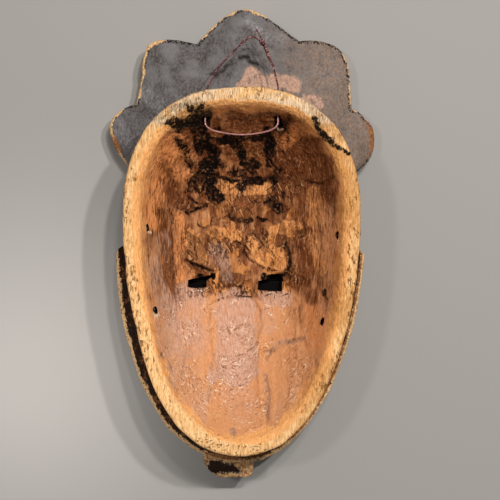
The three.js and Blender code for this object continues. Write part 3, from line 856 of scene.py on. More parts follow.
@dataclass(frozen=True)
class Openings:
    """The eye slots and the small holes that are cut through the wood."""

    slots: tuple = (
        ((-45.8, -32.4), (-46.2, -38.6), (-41, -39.6), (-30.6, -39), (-30.2, -33.4), (-23.4, -28.2),
         (-26.4, -28), (-38, -30.6)),
        ((13.2, -33.6), (13.8, -41.4), (23, -42.2), (33.8, -42.6), (34.2, -31), (31.8, -27.6),
         (24.6, -27.4), (22.6, -31), (18.4, -32.6)),
    )
    slot_neck: tuple[float, float] = (0.8, 0.2)
    slot_levels: tuple = (
        (-5, 0, -3), (13, 0, -3), (18.5, 0, 1.5), (25, 0.9, 0.3), (28, 1, 0),
        (70, 1, 0),
    )
    slot_steps: int = 96
    top_holes: tuple = (((-29.5, 104, 77), (0, 1, -0.25)), ((29.5, 104, 77), (0, 1, -0.25)))
    top_mouths: tuple = ((30.6, 96.6, 3.6, 4.2), (-30, 99, 2.7, 3))
    side_mouths: tuple = (
        (-76.5, 11, 1.7, 3.3), (-69.5, -56, 1.7, 3.2), (77.5, 5, 1.8, 3.5), (65.5, -65.5, 1.8, 3.6),
    )
    top_radius: float = 3.2
    side_radius: float = 2.3
    side_slope: float = 0.3
    drill_length: float = 70
    mouth_depth: float = 5

    def slot_surfaces(self) -> list[Surface]:
        """Build one block for each slot, which narrows and bends on its way to the face.

        The knife-cut outline is followed at an even pace and made uneven by up to a quarter of
        a millimetre. Each level has a height, how wide it is between neck and mouth, and how
        far it is moved towards the crest.
        """
        surfaces = []
        for number, corners in enumerate(self.slots):
            route = np.array([*corners, corners[0]])
            run = run_along(route)
            flat = paced(route, run, np.linspace(0, run[-1], self.slot_steps + 1)[:-1])
            middle = flat.mean(axis=0)
            flat = flat + 0.25 * noise(flat, 3.5, 83 + number, 2)[:, None]
            rings = []
            neck = np.array(self.slot_neck)
            for z, wide, moved in self.slot_levels:
                ring = middle + (flat - middle) * (neck + (1 - neck) * wide) + np.array([0, moved])
                rings.append(np.column_stack([ring, np.full(len(ring), z)]))
            surfaces.append(lofted(np.stack(rings)))
        return surfaces

    def drill(
        self, place: Sequence[float], along: Sequence[float], radius: float, length: float,
        stretch: float = 1,
    ) -> Surface:
        """Build a round or oval rod through a place, slightly uneven like a hand-bored hole."""
        axis = np.array(along) / np.linalg.norm(along)
        side = np.cross(axis, [0, 1, 0] if abs(axis[2]) > 0.5 else [0, 0, 1])
        side /= np.linalg.norm(side)
        third = np.cross(axis, side)
        angle = np.linspace(0, 2 * np.pi, 29)[:-1]
        circle = np.cos(angle)[:, None] * side + stretch * np.sin(angle)[:, None] * third
        circle *= (radius * (1 + 0.06 * np.cos(3 * angle + place[0])))[:, None]
        rings = [circle + np.array(place) + axis * step * length / 2 for step in np.linspace(-1, 1, 15)]
        return lofted(np.stack(rings))

    def on_wall(self, form: BowlForm, x: float, y: float) -> tuple[float, float, float]:
        """Give the place on the hollow's wall above or below a point of the plan."""
        return x, y, float(form.hollow_at(np.array(x), np.array(y)))

    def bores(self, form: BowlForm) -> list[tuple[Sequence[float], Sequence[float], float]]:
        """Give each round hole's place, direction and radius."""
        found = [(*hole, self.top_radius) for hole in self.top_holes]
        for x, y, _, _ in self.side_mouths:
            found.append((self.on_wall(form, x, y), (-math.copysign(1, x), 0, self.side_slope),
                          self.side_radius))
        return found

    def surfaces(self, form: BowlForm) -> list[Surface]:
        """Give every cutter: the slots, the cord and side holes, and the holes' worn mouths."""
        cutters = self.slot_surfaces()
        cutters += [self.drill(place, along, radius, self.drill_length)
                    for place, along, radius in self.bores(form)]
        for x, y, half_width, half_height in (*self.top_mouths, *self.side_mouths):
            outwards = np.array([x, y - form.centre_y, 0]) / math.hypot(x, y - form.centre_y)
            lean = 0.35 * outwards - np.array([0, 0, 1])
            cutters.append(self.drill(
                self.on_wall(form, x, y), lean, half_width, 2 * self.mouth_depth,
                half_height / half_width))
        return cutters


@dataclass
class CarvedMask:
    """The whole mask, carved from one block of wood."""

    form: BowlForm = field(default_factory=BowlForm)
    face_cells: tuple[int, int] = (112, 176)
    hollow_cells: tuple[int, int] = (150, 246)
    jaw_fullness: float = 3.4
    jaw_direction: float = -111
    jaw_spread: float = 24

    def block(self) -> Surface:
        """Build the block before it is hollowed: the face below and a flat top at the rim."""
        form = self.form
        x, y, share = form.egg_grid(form.face_inset, *self.face_cells)
        grid = np.stack([x, y, form.face_height(x, y, share)], axis=-1)
        heights = np.linspace(60, 92, 7)
        outsets = form.face_inset * np.minimum(1, ease(30, 92, heights) * 1.05)
        walls = list(zip(outsets, heights))
        inset = form.face_inset
        walls += [(inset, 94.4), (inset - 0.4, 96), (inset - 1.4, form.rim_z)]
        walls += [(inset - outset, form.rim_z) for outset in (3.2, 5, 7, 9.5)]
        return patch_body(grid, (0, form.centre_y), walls)

    def hollow(self) -> Surface:
        """Build the space to hollow out: floor, walls, a rounded bevel and room above."""
        form = self.form
        x, y, share = form.egg_grid(form.mouth_inset, *self.hollow_cells)
        grid = np.stack([x, y, form.hollow_height(x, y, share)], axis=-1)
        grid = grid + grid_normals(grid) * HollowCarving(form).relief(x, y)[..., None]
        rise = form.rim_z - form.bevel_drop
        walls = [(1.2, rise + 2.2), (2.8, rise + 3.7), (4.5, rise + 4.6)]
        walls += [(form.bevel_width, form.rim_z), (form.bevel_width, form.rim_z + 7)]
        return patch_body(grid, (0, form.centre_y), walls)

    def build(self) -> Piece:
        """Cut and join the block's parts into one closed mesh."""
        mask = self.block().to_object("carved_mask")
        crest, frill = Crest(self.form), JawFrill(self.form)
        for part in (crest, frill, ChinTab()):
            combine(mask, part.surface().to_object("added"), "UNION")
        for surface in [self.hollow(), *Openings().surfaces(self.form)]:
            combine(mask, surface.to_object("cutter"), "DIFFERENCE")
        self.wear_rim(mask)
        MaskPaint(self.form, crest, frill).apply(mask)
        self.fill_jaw(mask)
        mask.data.shade_smooth()
        mask.data.set_sharp_from_angle(angle=math.radians(55))
        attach(mask, "root")
        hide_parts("mask")
        return mask

    def fill_jaw(self, mask: Piece) -> None:
        """Make the bowl's left jaw fuller than the right one, as it was carved by eye.

        Near the rim each corner moves out from the centre, most in one direction and less to
        both sides of it, and the frill's edge stays where it is.
        """
        form, place = self.form, read_places(mask.data)
        x, y, _ = place.T
        angle = np.degrees(np.arctan2(y - form.centre_y, x))
        depth = form.depth_inside(x, y)
        near = ease(-9, -1, depth) * (1 - ease(8, 60, depth))
        step = self.jaw_fullness * near * bump(angle - self.jaw_direction, 0 * x, self.jaw_spread, 1)
        place[:, :2] += form.outwards(place[:, :2]) * step[:, None]
        write_places(mask.data, place)

    def wear_rim(self, mask: Piece) -> None:
        """Let the rim dip and its outer edge wander, as a hand-held knife leaves it.

        Near the rim each corner sinks by up to a millimetre of smooth noise, and moves in or out
        by about half that.
        """
        form, place = self.form, read_places(mask.data)
        near = ease(88, 95, place[:, 2])
        plan = place[:, :2]
        sink = 0.45 + 0.45 * noise(plan, 22, 91, 2) + 0.22 * noise(plan, 4, 93, 2)
        wander = 0.55 * noise(plan, 16, 95, 3) - 0.3
        place[:, :2] += form.outwards(plan) * (wander * near)[:, None]
        place[:, 2] -= np.maximum(0, sink) * near
        write_places(mask.data, place)


def combine(base: Piece, other: Piece, operation: str) -> None:
    """Join one closed mesh to another, or cut it away, and delete the second."""
    change = base.modifiers.new("cut", "BOOLEAN")
    change.operation = operation
    change.solver = "MANIFOLD"
    change.object = other
    evaluated = base.evaluated_get(bpy.context.evaluated_depsgraph_get())
    result = bpy.data.meshes.new_from_object(evaluated)
    base.modifiers.clear()
    base.data = result
    bpy.data.objects.remove(other)


@dataclass(frozen=True)
class HangingWire:
    """A thin wire of two twisted strands, laced through the top holes and tied above the crest."""

    route: tuple = (
        (27, 147, 48), (21.5, 155, 52), (18, 163, 55), (13, 168.5, 56),
        (7.5, 170.5, 57), (1, 165.5, 57), (-8, 157, 57), (-16.5, 147.5, 59),
        (-24, 136, 64), (-29, 124, 70.5), (-29.5, 104, 76.5), (-29, 94.5, 80.5),
        (-24, 90.5, 82), (-14, 88, 81.5), (0, 86.7, 81), (14, 88, 81.5),
        (24, 90.5, 82), (29, 94.5, 80.5), (29.5, 104, 76.5), (30, 124, 70.5),
        (28, 136, 66), (24, 150, 60.5), (20, 161, 57.5), (16.5, 168, 57.5),
        (12, 177, 54),
    )
    diameter: float = 1.7
    strand_radius: float = 0.47
    pitch: float = 4.6
    step: float = 0.55

    def centreline(self) -> Array:
        """Follow a centripetal Catmull-Rom spline through the route's points, at an even pace.

        Each stretch is a cubic whose end slopes come from the neighbouring points, weighted by
        the root of their distances.

        Returns:
            Places in millimetres, a step apart.
        """
        points = np.array(self.route)
        points = np.concatenate([[2 * points[0] - points[1]], points, [2 * points[-1] - points[-2]]])
        gaps = np.sqrt(np.linalg.norm(np.diff(points, axis=0), axis=1))[:, None]
        slopes = np.diff(points, axis=0) / gaps
        t = np.linspace(0, 1, 25)[:, None, None]
        near, far, gap = points[1:-2], points[2:-1], gaps[1:-1]
        skip_near = (points[2:-1] - points[:-3]) / (gaps[:-2] + gaps[1:-1])
        skip_far = (points[3:] - points[1:-2]) / (gaps[1:-1] + gaps[2:])
        slope_near = (slopes[:-2] - skip_near + slopes[1:-1]) * gap
        slope_far = (slopes[1:-1] - skip_far + slopes[2:]) * gap
        curve = near + slope_near * t + (3 * (far - near) - 2 * slope_near - slope_far) * t**2
        curve = curve + (2 * (near - far) + slope_near + slope_far) * t**3
        fine = np.concatenate([curve[:-1].transpose(1, 0, 2).reshape(-1, 3), points[-2:-1]])
        run = run_along(fine)
        return paced(fine, run, np.linspace(0, run[-1], int(run[-1] / self.step) + 1))

    def strand(self, line: Array, phase: float) -> Surface:
        """Build one strand: a thin tube that winds round the centreline."""
        run = np.arange(len(line)) * self.step
        first, second = frames_along(line)
        turn = (2 * np.pi * run / self.pitch + phase)[:, None]
        offset = self.diameter / 2 - self.strand_radius
        return tube(line + offset * (np.cos(turn) * first + np.sin(turn) * second), self.strand_radius, 7)

    def build(self) -> None:
        line = self.centreline()
        wire = merged([self.strand(line, phase) for phase in (0, np.pi)]).to_object("twisted_wire")
        wire.data.shade_smooth()
        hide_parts("hanging_wire")
        knot = merged(self.knot()).to_object("wire_knot")
        knot.data.shade_smooth()
        finish = EnamelledWire().build()
        for piece in (wire, knot):
            piece.data.materials.append(finish)
            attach(piece, "root")

    def knot(self) -> list[Surface]:
        """Build the wrapped turns that tie the two ends together, and one spare kinked end."""
        middle = np.array([17.2, 165.2, 56.4])
        axis = np.array([-0.36, 0.92, 0.1])
        axis /= np.linalg.norm(axis)
        side = np.cross(axis, [0, 0, 1])
        side /= np.linalg.norm(side)
        third = np.cross(axis, side)
        turn = np.linspace(0, 2 * np.pi * 3.4, 120)[:, None]
        swell = 2 + 0.3 * np.sin(turn * 1.7)
        coil = middle + axis * (turn / (2 * np.pi) - 1.7) * 0.95
        coil = coil + swell * (np.cos(turn) * side + np.sin(turn) * third)
        spare = np.array([[8, 169.4, 58.6], [4, 168.6, 59], [0.5, 166.4, 58.8], [-2.6, 162.6, 58]])
        spare_line = paced(spare, np.arange(len(spare)), np.linspace(0, len(spare) - 1, 40))
        return [tube(coil, 0.5, 7), tube(spare_line, 0.4, 7)]


def frames_along(line: Array) -> tuple[Array, Array]:
    """Carry two crosswise directions along a path without letting them twist.

    Args:
        line: The path's places.

    Returns:
        The two unit directions at each place, square to the path and to each other.
    """
    tangents = np.gradient(line, axis=0)
    tangents /= np.linalg.norm(tangents, axis=1, keepdims=True)
    first = np.zeros_like(line)
    carried = np.cross(tangents[0], [0.31, 0.17, 0.94])
    for number, tangent in enumerate(tangents):
        carried = carried - tangent * (carried @ tangent)
        carried = carried / np.linalg.norm(carried)
        first[number] = carried
    return first, np.cross(tangents, first)


def tube(line: Array, radius: float, sides: int) -> Surface:
    """Build a closed round tube along a path, with tapered ends."""
    first, second = frames_along(line)
    angle = np.linspace(0, 2 * np.pi, sides + 1)[:-1]
    taper = np.ones(len(line))
    taper[[0, -1]] = 0.45
    ring = np.cos(angle)[None, :, None] * first[:, None] + np.sin(angle)[None, :, None] * second[:, None]
    return lofted(line[:, None] + ring * (radius * taper)[:, None, None])


def merged(surfaces: Sequence[Surface]) -> Surface:
    """Put several closed surfaces into one, side by side."""
    corners, quads, triangles, start = [], [], [], 0
    for surface in surfaces:
        corners.append(surface.corners)
        for whole, part in zip((quads, triangles), surface.turned()):
            whole.append(part + start)
        start += len(surface.corners)
    return Surface(np.concatenate(corners), np.concatenate(quads), np.concatenate(triangles))


def linear(hex_colour: str) -> tuple[float, float, float, float]:
    """Turn an sRGB hex colour such as #a0b0c0 into linear values with full alpha."""
    values = np.array([int(hex_colour[n:n + 2], 16) for n in (1, 3, 5)]) / 255
    straight = np.where(values <= 0.04045, values / 12.92, ((values + 0.055) / 1.055) ** 2.4)
    return (*straight.tolist(), 1)


def add_node(tree: Tree, kind: str, inputs: dict, output: int | str = 0, **settings: object) -> Socket:
    """Add a shader node with its settings, and link or set its inputs.

    Args:
        tree: The material's node tree.
        kind: The node's type without its first words, such as Math.
        inputs: For each input's name or number an output to link to it, or a value.
        output: Name or number of the output that is wanted.
        settings: The node's own properties.

    Returns:
        The wanted output.
    """
    node = tree.nodes.new("ShaderNode" + kind)
    for name, value in settings.items():
        setattr(node, name, value)
    for key, value in inputs.items():
        if isinstance(value, Socket):
            tree.links.new(value, node.inputs[key])
        else:
            node.inputs[key].default_value = value
    return node.outputs[output]


def new_material(name: str, **constants: object) -> tuple[bpy.types.Material, bpy.types.ShaderNode]:
    """Start a material.

    Args:
        name: The material's name.
        constants: Values for the shader's own sockets, with low lines for the blanks in a name.

    Returns:
        The material and its shader.
    """
    material = bpy.data.materials.new(name)
    material.use_nodes = True
    shader = material.node_tree.nodes["Principled BSDF"]
    for key, value in constants.items():
        shader.inputs[key.replace("_", " ")].default_value = value
    return material, shader


@dataclass(frozen=True)
class Pattern:
    """Soft noise that is stretched along the grain and cut to a range.

    Width is the size of its largest blotches across the grain in millimetres, and stretch how
    many times longer they are along it.
    """

    width: float
    stretch: float = 1
    low: float = 0.35
    high: float = 0.65
    detail: float = 3
    seed: float = 0
    turn: float = 0

    def place(self, tree: Tree) -> Socket:
        """Add the nodes that turn and scale a place on the object to the pattern's own size."""
        across = 1 / (self.width * MM)
        turned = add_node(tree, "Mapping", {
            "Vector": add_node(tree, "TexCoord", {}, "Object"),
            "Rotation": (0, 0, math.radians(self.turn))})
        return add_node(tree, "Mapping", {
            "Vector": turned, "Location": (self.seed, self.seed * 0.7, self.seed * 1.3),
            "Scale": (across, across / self.stretch, across)})

    def noise(self, tree: Tree) -> Socket:
        """Add the noise's nodes and give its value, about 0.5 on average."""
        return add_node(tree, "TexNoise", {
            "Vector": self.place(tree), "Scale": 1, "Detail": self.detail, "Roughness": 0.6})

    def build(self, tree: Tree) -> Socket:
        """Add the pattern's nodes and give its strength, from 0 to 1."""
        return add_node(tree, "MapRange", {
            "Value": self.noise(tree), "From Min": self.low, "From Max": self.high},
            interpolation_type="SMOOTHSTEP")


@dataclass(frozen=True)
class Hairlines(Pattern):
    """Thin wandering lines, where the noise is close to its average: cracks and scratch lines."""

    thin: float = 0.035

    def build(self, tree: Tree) -> Socket:
        """Add the lines' nodes and give their strength, 1 in the middle of a line."""
        centred = add_node(tree, "Math", {0: self.noise(tree), 1: 0.5}, operation="SUBTRACT")
        away = add_node(tree, "Math", {0: centred}, operation="ABSOLUTE")
        return add_node(tree, "MapRange", {"Value": away, "From Min": self.thin, "From Max": 0.3 * self.thin})


@dataclass(frozen=True)
class Facets(Pattern):
    """Facets side by side, as chops of a gouge leave them, each with one value of its own."""

    feature: ClassVar[str] = "F1"
    shown: ClassVar[str] = "Color"

    def limits(self) -> tuple[float, float]:
        """Give the values of the cells that turn into 0 and 1."""
        return self.low, self.high

    def build(self, tree: Tree) -> Socket:
        """Add the nodes of uneven cells and give each facet's value, from 0 to 1."""
        place, (low, high) = self.place(tree), self.limits()
        shaken = add_node(tree, "TexNoise", {"Vector": place, "Scale": 0.8, "Detail": 1}, "Color")
        moved = add_node(tree, "VectorMath", {
            0: shaken, 1: (0.5, 0.5, 0.5), 2: place}, operation="MULTIPLY_ADD")
        cells = add_node(tree, "TexVoronoi", {"Vector": moved, "Scale": 1}, self.shown, feature=self.feature)
        return add_node(tree, "MapRange", {"Value": cells, "From Min": low, "From Max": high})


@dataclass(frozen=True)
class Scoops(Facets):
    """The hollow shape of the same facets: low in each one's middle and high where they meet."""

    shown: ClassVar[str] = "Distance"


@dataclass(frozen=True)
class FacetEdges(Facets):
    """The thin lines along which facets meet."""

    feature: ClassVar[str] = "DISTANCE_TO_EDGE"
    shown: ClassVar[str] = "Distance"
    thin: float = 0.04

    def limits(self) -> tuple[float, float]:
        """Give the distances from the edge that turn into 0 and 1."""
        return self.thin, 0.3 * self.thin


@dataclass(frozen=True)
class Layer:
    """A colour laid over the wood where a painted attribute is strong, with a ragged edge."""

    attribute: str
    colours: str
    pattern: Pattern
    ragged: float = 0.8
    low: float = 0.4
    high: float = 0.6
    strength: float = 1
    rough: float = 0.6

    def mask(self, tree: Tree) -> Socket:
        """Add the nodes that scale the attribute by noise and compare it with the two limits."""
        painted = add_node(tree, "Attribute", {}, "Fac", attribute_name=self.attribute)
        factor = add_node(tree, "Math", {
            0: self.pattern.build(tree), 1: 2 * self.ragged, 2: 1 - self.ragged},
            operation="MULTIPLY_ADD")
        noisy = add_node(tree, "Math", {0: painted, 1: factor}, operation="MULTIPLY")
        return add_node(tree, "MapRange", {
            "Value": noisy, "From Min": self.low, "From Max": self.high, "To Max": self.strength},
            interpolation_type="SMOOTHSTEP")


@dataclass(frozen=True)
class Relief:
    """Fine unevenness that stands out as far as given, in millimetres, where its attribute is 1."""

    attribute: str
    pattern: Pattern
    depth: float


def table(kind: type, *rows: tuple) -> tuple:
    """Build layers or reliefs from rows of their values, with a pattern's numbers as a tuple."""
    return tuple(
        kind(*(Pattern(*value) if isinstance(value, tuple) else value for value in row)) for row in rows)


@dataclass(frozen=True)
class LayeredWood:
    """Wood grain with layers of colour over it and a fine relief of its own."""

    name: str
    base: tuple[str, str, str]
    streaks: Pattern
    clouds: Pattern
    layers: tuple[Layer, ...]
    relief: tuple[Relief, ...]
    grain: Pattern = Pattern(1.1, 7, 0.3, 0.7, 5, 51)
    roughness: float = 0.5
    ior: float = 1.5
    gloss: float = 0.5

    def build(self) -> bpy.types.Material:
        """Build the material.

        The base runs between its first two colours by the streaks and towards its third by the
        clouds. Each layer then covers what is below it, and brings its own roughness.
        """
        material, shader = new_material(self.name, IOR=self.ior, Specular_IOR_Level=self.gloss)
        tree = material.node_tree

        def mixed(share: Socket, first: object, second: object) -> Socket:
            """Mix two colours."""
            return add_node(tree, "Mix", {0: share, 6: first, 7: second}, 2, data_type="RGBA")

        first, second, third = (linear(colour) for colour in self.base)
        colour = mixed(self.streaks.build(tree), first, second)
        colour = mixed(self.clouds.build(tree), colour, third)
        rough = self.roughness
        grain = self.grain.build(tree)
        for layer in self.layers:
            mask = layer.mask(tree)
            own = mixed(grain, *(linear(end) for end in layer.colours.split()))
            colour = mixed(mask, colour, own)
            rough = add_node(tree, "Mix", {0: mask, 2: rough, 3: layer.rough})
        height = 0
        for relief in self.relief:
            painted = add_node(tree, "Attribute", {}, "Fac", attribute_name=relief.attribute)
            raised = add_node(tree, "Math", {
                0: relief.pattern.build(tree), 1: relief.depth}, operation="MULTIPLY")
            height = add_node(tree, "Math", {0: raised, 1: painted, 2: height}, operation="MULTIPLY_ADD")
        normal = add_node(tree, "Bump", {"Height": height, "Distance": MM, "Strength": 1})
        for name, value in (("Base Color", colour), ("Roughness", rough), ("Normal", normal)):
            tree.links.new(value, shader.inputs[name])
        return material


# The hollow's finish: bare tropical wood, oiled by handling and blackened in places. The eye sees
# warm tan wood with long dark fibres, a brown and sooty forehead, a chalky patch below the eyes
# and a cream rim full of small dark pores.
# Shade is painted into the cuts, between the facets and in the holes, and highlights on ledges, specks and
# scratch lines.
HOLLOWED_WOOD = LayeredWood(
    name="oiled_bare_wood",
    base=("#e0a678", "#c27e4e", "#d09263"),
    streaks=Pattern(1.4, 6, 0.3, 0.7, 6, 1),
    clouds=Pattern(14, 1.6, 0.35, 0.7, 5, 2),
    layers=table(
        Layer,
        ("umber", "#8d532e #583018", (3, 5, 0.2, 0.8, 6, 61), 0.6, 0, 1),
        ("fibres", "#8a5230 #5c3117", (1.6, 14, 0.3, 0.7, 6, 14), 0.8, 0.2, 1.3, 0.7),
        ("honey", "#f2a364 #d3834a", (3, 6, 0.25, 0.75, 5, 5), 0.4, 0.05, 0.95, 0.9),
        ("orange", "#f0aa69 #d38b50", (1.6, 5, 0.25, 0.75, 6, 4), 0.45, 0.25, 0.75, 0.9),
        # Per-facet tones: partly the wood's own, partly painted light and shade for each facet's slope
        ("chopped", "#e39c5b #bb743e", Facets(9, 1.8, 0.5, 0.34, seed=32), 1, 0.3, 1.2, 0.75),
        ("chopped", "#7c4a2a #532d17", Facets(9, 1.8, 0.58, 0.74, seed=32), 1, 0.3, 1.2, 0.65),
        ("brown", "#75401f #4a2610", (2.2, 4.5, 0.2, 0.8, 7, 3), 0.8, 0.1, 1.1, 0.9),
        ("grey", "#b8937f #7f5c4b", (1.6, 4, 0.2, 0.8, 6, 6), 0.7, 0.1, 1, 0.85),
        ("dust", "#d8b29b #b28870", (2, 5, 0.25, 0.75, 6, 62), 0.7, 0.15, 1.1, 0.7, 0.75),
        ("chalk", "#d8b09c #ad8069", (2.4, 0.6, 0.25, 0.75, 7, 7, 8), 0.6, 0.1, 0.95, 0.9, 0.7),
        ("fine", "#5a3018 #3a1c0c", (1.6, 9, 0.52, 0.66, 2, 81), 1, 0.5, 1.7, 0.75),
        ("fine", "#dfa774 #c68a59", (1.5, 8, 0.56, 0.68, 2, 82, 6), 1, 0.6, 1.8, 0.45),
        # Painted shade: dark lines where the facets meet
        ("chopped", "#4a2611 #2a1308", FacetEdges(9, 1.8, seed=32, thin=0.03), 1, 0.3, 1.7, 0.55),
        ("cracks", "#3a1b0b #200e06", Hairlines(11, 4, detail=2, seed=16, turn=28, thin=0.018),
         1, 0.4, 1.6, 0.7),
        ("cracks", "#341a0c #1c0c05", (1.9, 9, 0.61, 0.67, 1, 72, -38), 1, 0.6, 1.4, 0.8),
        ("cracks", "#341a0c #1c0c05", (1.8, 8, 0.62, 0.67, 1, 83, 58), 1, 0.6, 1.4, 0.8),
        ("cracks", "#e0ac78 #c98f58", (1.5, 10, 0.64, 0.69, 1, 74, -24), 1, 0.6, 1.6, 0.6, 0.4),
        ("scratches", "#8f5c3a #754526", (1.8, 7, 0.61, 0.68, 1, 65, 70), 1, 0.6, 1.6, 0.6),
        ("scratches", "#8f5c3a #754526", (1.8, 6, 0.61, 0.68, 1, 84, -34), 1, 0.6, 1.6, 0.6),
        # Painted highlights: pale lines along the scratch lines
        ("scratches", "#fbe2cb #ecc9a8", (2, 9, 0.64, 0.71, 1, 18, 32), 1, 0.6, 1.5, 0.75, 0.3),
        ("scratches", "#fbe2cb #ecc9a8", (2, 7, 0.64, 0.71, 1, 75, -66), 1, 0.6, 1.5, 0.75, 0.3),
        ("soot", "#37190b #1d0d06", (2.4, 3, 0.25, 0.75, 8, 67), 0.9, 0.02, 0.75, 0.8, 0.8),
        ("soot", "#040201 #0a0503", (2, 1.6, 0.3, 0.7, 9, 8), 0.95, 0.3, 0.85, 0.98, 0.9),
        # Painted shade: dark in the cuts' grooves, below their ledges and in the carving's creases
        ("crevice", "#46230f #1d0d05", (1.6, 2, 0.3, 0.7, 5, 9), 0.6, 0.15, 1, 0.9, 0.7),
        # Painted highlight: pale on the raised side of the cuts' ledges and on convex places
        ("ridge", "#e8b783 #cf8f56", (1.5, 3, 0.3, 0.7, 5, 17), 0.8, 0.2, 1.1, 0.7, 0.35),
        # Painted glints: small pale specks with low roughness, partly chips and partly highlights
        ("flecks", "#f6e6d0 #e8c8a4", (1.1, 1.3, 0.62, 0.7, 4, 19), 1, 0.9, 1.4, 0.9, 0.25),
        ("bevel", "#ffbf7d #e29b57", (1.6, 5, 0.25, 0.75, 6, 10), 0.45, 0.1, 0.9, 0.92),
        ("rim", "#fad09a #d0985a", (1.4, 3.5, 0.25, 0.75, 6, 11), 0.35, 0.25, 0.75, 0.97),
        ("rim", "#b47a3f #8f5a29", (1.1, 5, 0.5, 0.68, 5, 85), 1, 0.7, 1.8, 0.75),
        ("rim_orange", "#cf9454 #ad7238", (1.6, 3, 0.2, 0.8, 6, 66), 0.7, 0.2, 1.1, 0.75),
        ("rim_grey", "#eed8bd #a98f6c", (1.2, 2, 0.3, 0.7, 7, 20), 0.7, 0.2, 1, 0.8),
        ("hatch", "#85592f #5f3d20", (0.6, 8, 0.56, 0.66, 3, 63), 1, 0.5, 1.6, 0.8),
        ("pores", "#4c2a0f #80501f", (1.7, 2.8, 0.51, 0.6, 9, 12), 1, 0.4, 1, 0.85),
        ("pores_low", "#4c2a0f #80501f", (1.6, 1.8, 0.53, 0.61, 9, 86, 78), 1, 0.4, 1, 0.85),
        ("rim_soot", "#4a3a29 #6e5a42", (2.4, 1.5, 0.25, 0.75, 8, 68), 0.8, 0.05, 1, 0.7, 0.8),
        ("rim_soot", "#060302 #120b06", (2.2, 1.4, 0.3, 0.7, 9, 13), 0.6, 0.4, 0.8, 0.97, 0.9),
        ("lip", "#f0d9c0 #d8b492", (1.6, 1, 0.3, 0.7, 3, 64), 0.5, 0.3, 0.7, 0.85, 0.4),
        # Painted shade: near black on the walls of the slots and holes
        ("inside_hole", "#040201 #080402", Pattern(2, seed=20), 0.2, 0.3, 0.6, 1, 0.95),
    ),
    relief=table(
        Relief,
        ("grained", (0.8, 9, 0.3, 0.7, 3, 14), 0.2),
        ("coarse", (2.4, 1.6, 0.3, 0.7, 6, 15), 0.5),
        ("coarse", (7, 1.2, 0.35, 0.65, 3, 33), 0.6),
        ("chopped", Scoops(9, 1.8, 0.1, 0.7, seed=32), 2.2),
        ("scratches", (2, 9, 0.58, 0.72, 1, 18, 32), 0.3),
        ("scratches", (1.8, 7, 0.56, 0.7, 1, 65, 70), -0.4),
        ("cracks", (1.9, 9, 0.56, 0.7, 1, 72, -38), -0.6),
    ),
    roughness=0.45,
    gloss=0.1,
)


# The outside's finish: a thin coat of charcoal black, rubbed through at the edges. The eye sees
# dusty dark grey with brown glints of wood in it, and cream wood where the coat is worn away.
BLACKENED_WOOD = LayeredWood(
    name="blackened_carved_wood",
    base=("#6a6362", "#3c3837", "#747070"),
    streaks=Pattern(1.6, 1.4, 0.3, 0.7, 6, 21),
    clouds=Pattern(12, 1.3, 0.35, 0.7, 6, 22),
    layers=table(
        Layer,
        ("tan", "#9a8475 #6d5849", (5, 1.2, 0.2, 0.8, 8, 23), 0.7, 0, 1.1, 0.8, 0.6),
        ("scuff", "#b0aeb0 #8a8788", (2, 1.2, 0.2, 0.8, 8, 24), 0.9, 0.25, 1.5, 0.8, 0.7),
        ("bare", "#cba48e #9a7663", (3.6, 1.3, 0.2, 0.8, 8, 25), 0.8, 0.15, 0.9, 0.97, 0.6),
        ("black", "#140903 #3a1f10", (2.4, 1.8, 0.2, 0.8, 7, 26), 0.6, 0.1, 0.6, 1, 0.5),
        # Painted shadow of the wire, and a fainter band of painted shade, on the crest's back
        ("smudge", "#0f0b0b #1b1413", (4, 1, 0.2, 0.8, 6, 35), 0.4, 0.1, 1, 0.95, 0.5),
        ("dots", "#e0d3c2 #b9a58e", (1, 1, 0.6, 0.72, 2, 34), 1, 0.9, 1.5, 0.85, 0.5),
        ("nicks", "#0d0704 #22140c", (1.4, 1.4, 0.44, 0.56, 5, 73), 1, 0.5, 1.1, 0.97, 0.6),
        ("worn", "#f3cf9c #bb8550", (1.6, 1.3, 0.25, 0.75, 8, 27), 0.85, 0.4, 0.6, 0.98, 0.6),
        ("rubbed", "#a56c3e #6b3d1e", (2, 1.3, 0.2, 0.8, 7, 36), 0.7, 0.3, 0.75, 0.95, 0.55),
        # Painted shade: near black on the walls of the slots and holes
        ("inside_hole", "#060302 #0b0604", Pattern(2, seed=30), 0.2, 0.3, 0.6, 1, 0.95),
    ),
    relief=table(
        Relief,
        ("grained", (0.9, 4, 0.3, 0.7, 3, 28), 0.12),
        ("coarse", (2.4, 1.5, 0.3, 0.7, 5, 29), 0.35),
    ),
    grain=Pattern(1.6, 1.3, 0.25, 0.75, 7, 52),
    roughness=0.5,
    gloss=0.14,
)


@dataclass(frozen=True)
class Stroke:
    """One stroke of a brush: a line of places, its half width and how it fades, in millimetres."""

    route: Route
    reach: float
    fade: float = 3
    strength: float = 1


@dataclass(frozen=True)
class Paint:
    """A colour's strokes, the seed of the hand's shake, and how strong and uneven it lies."""

    strokes: tuple[Stroke, ...]
    seed: int
    base: float = 1
    patchy: float = 0
    streaky: float = 0
    limit: float = 1


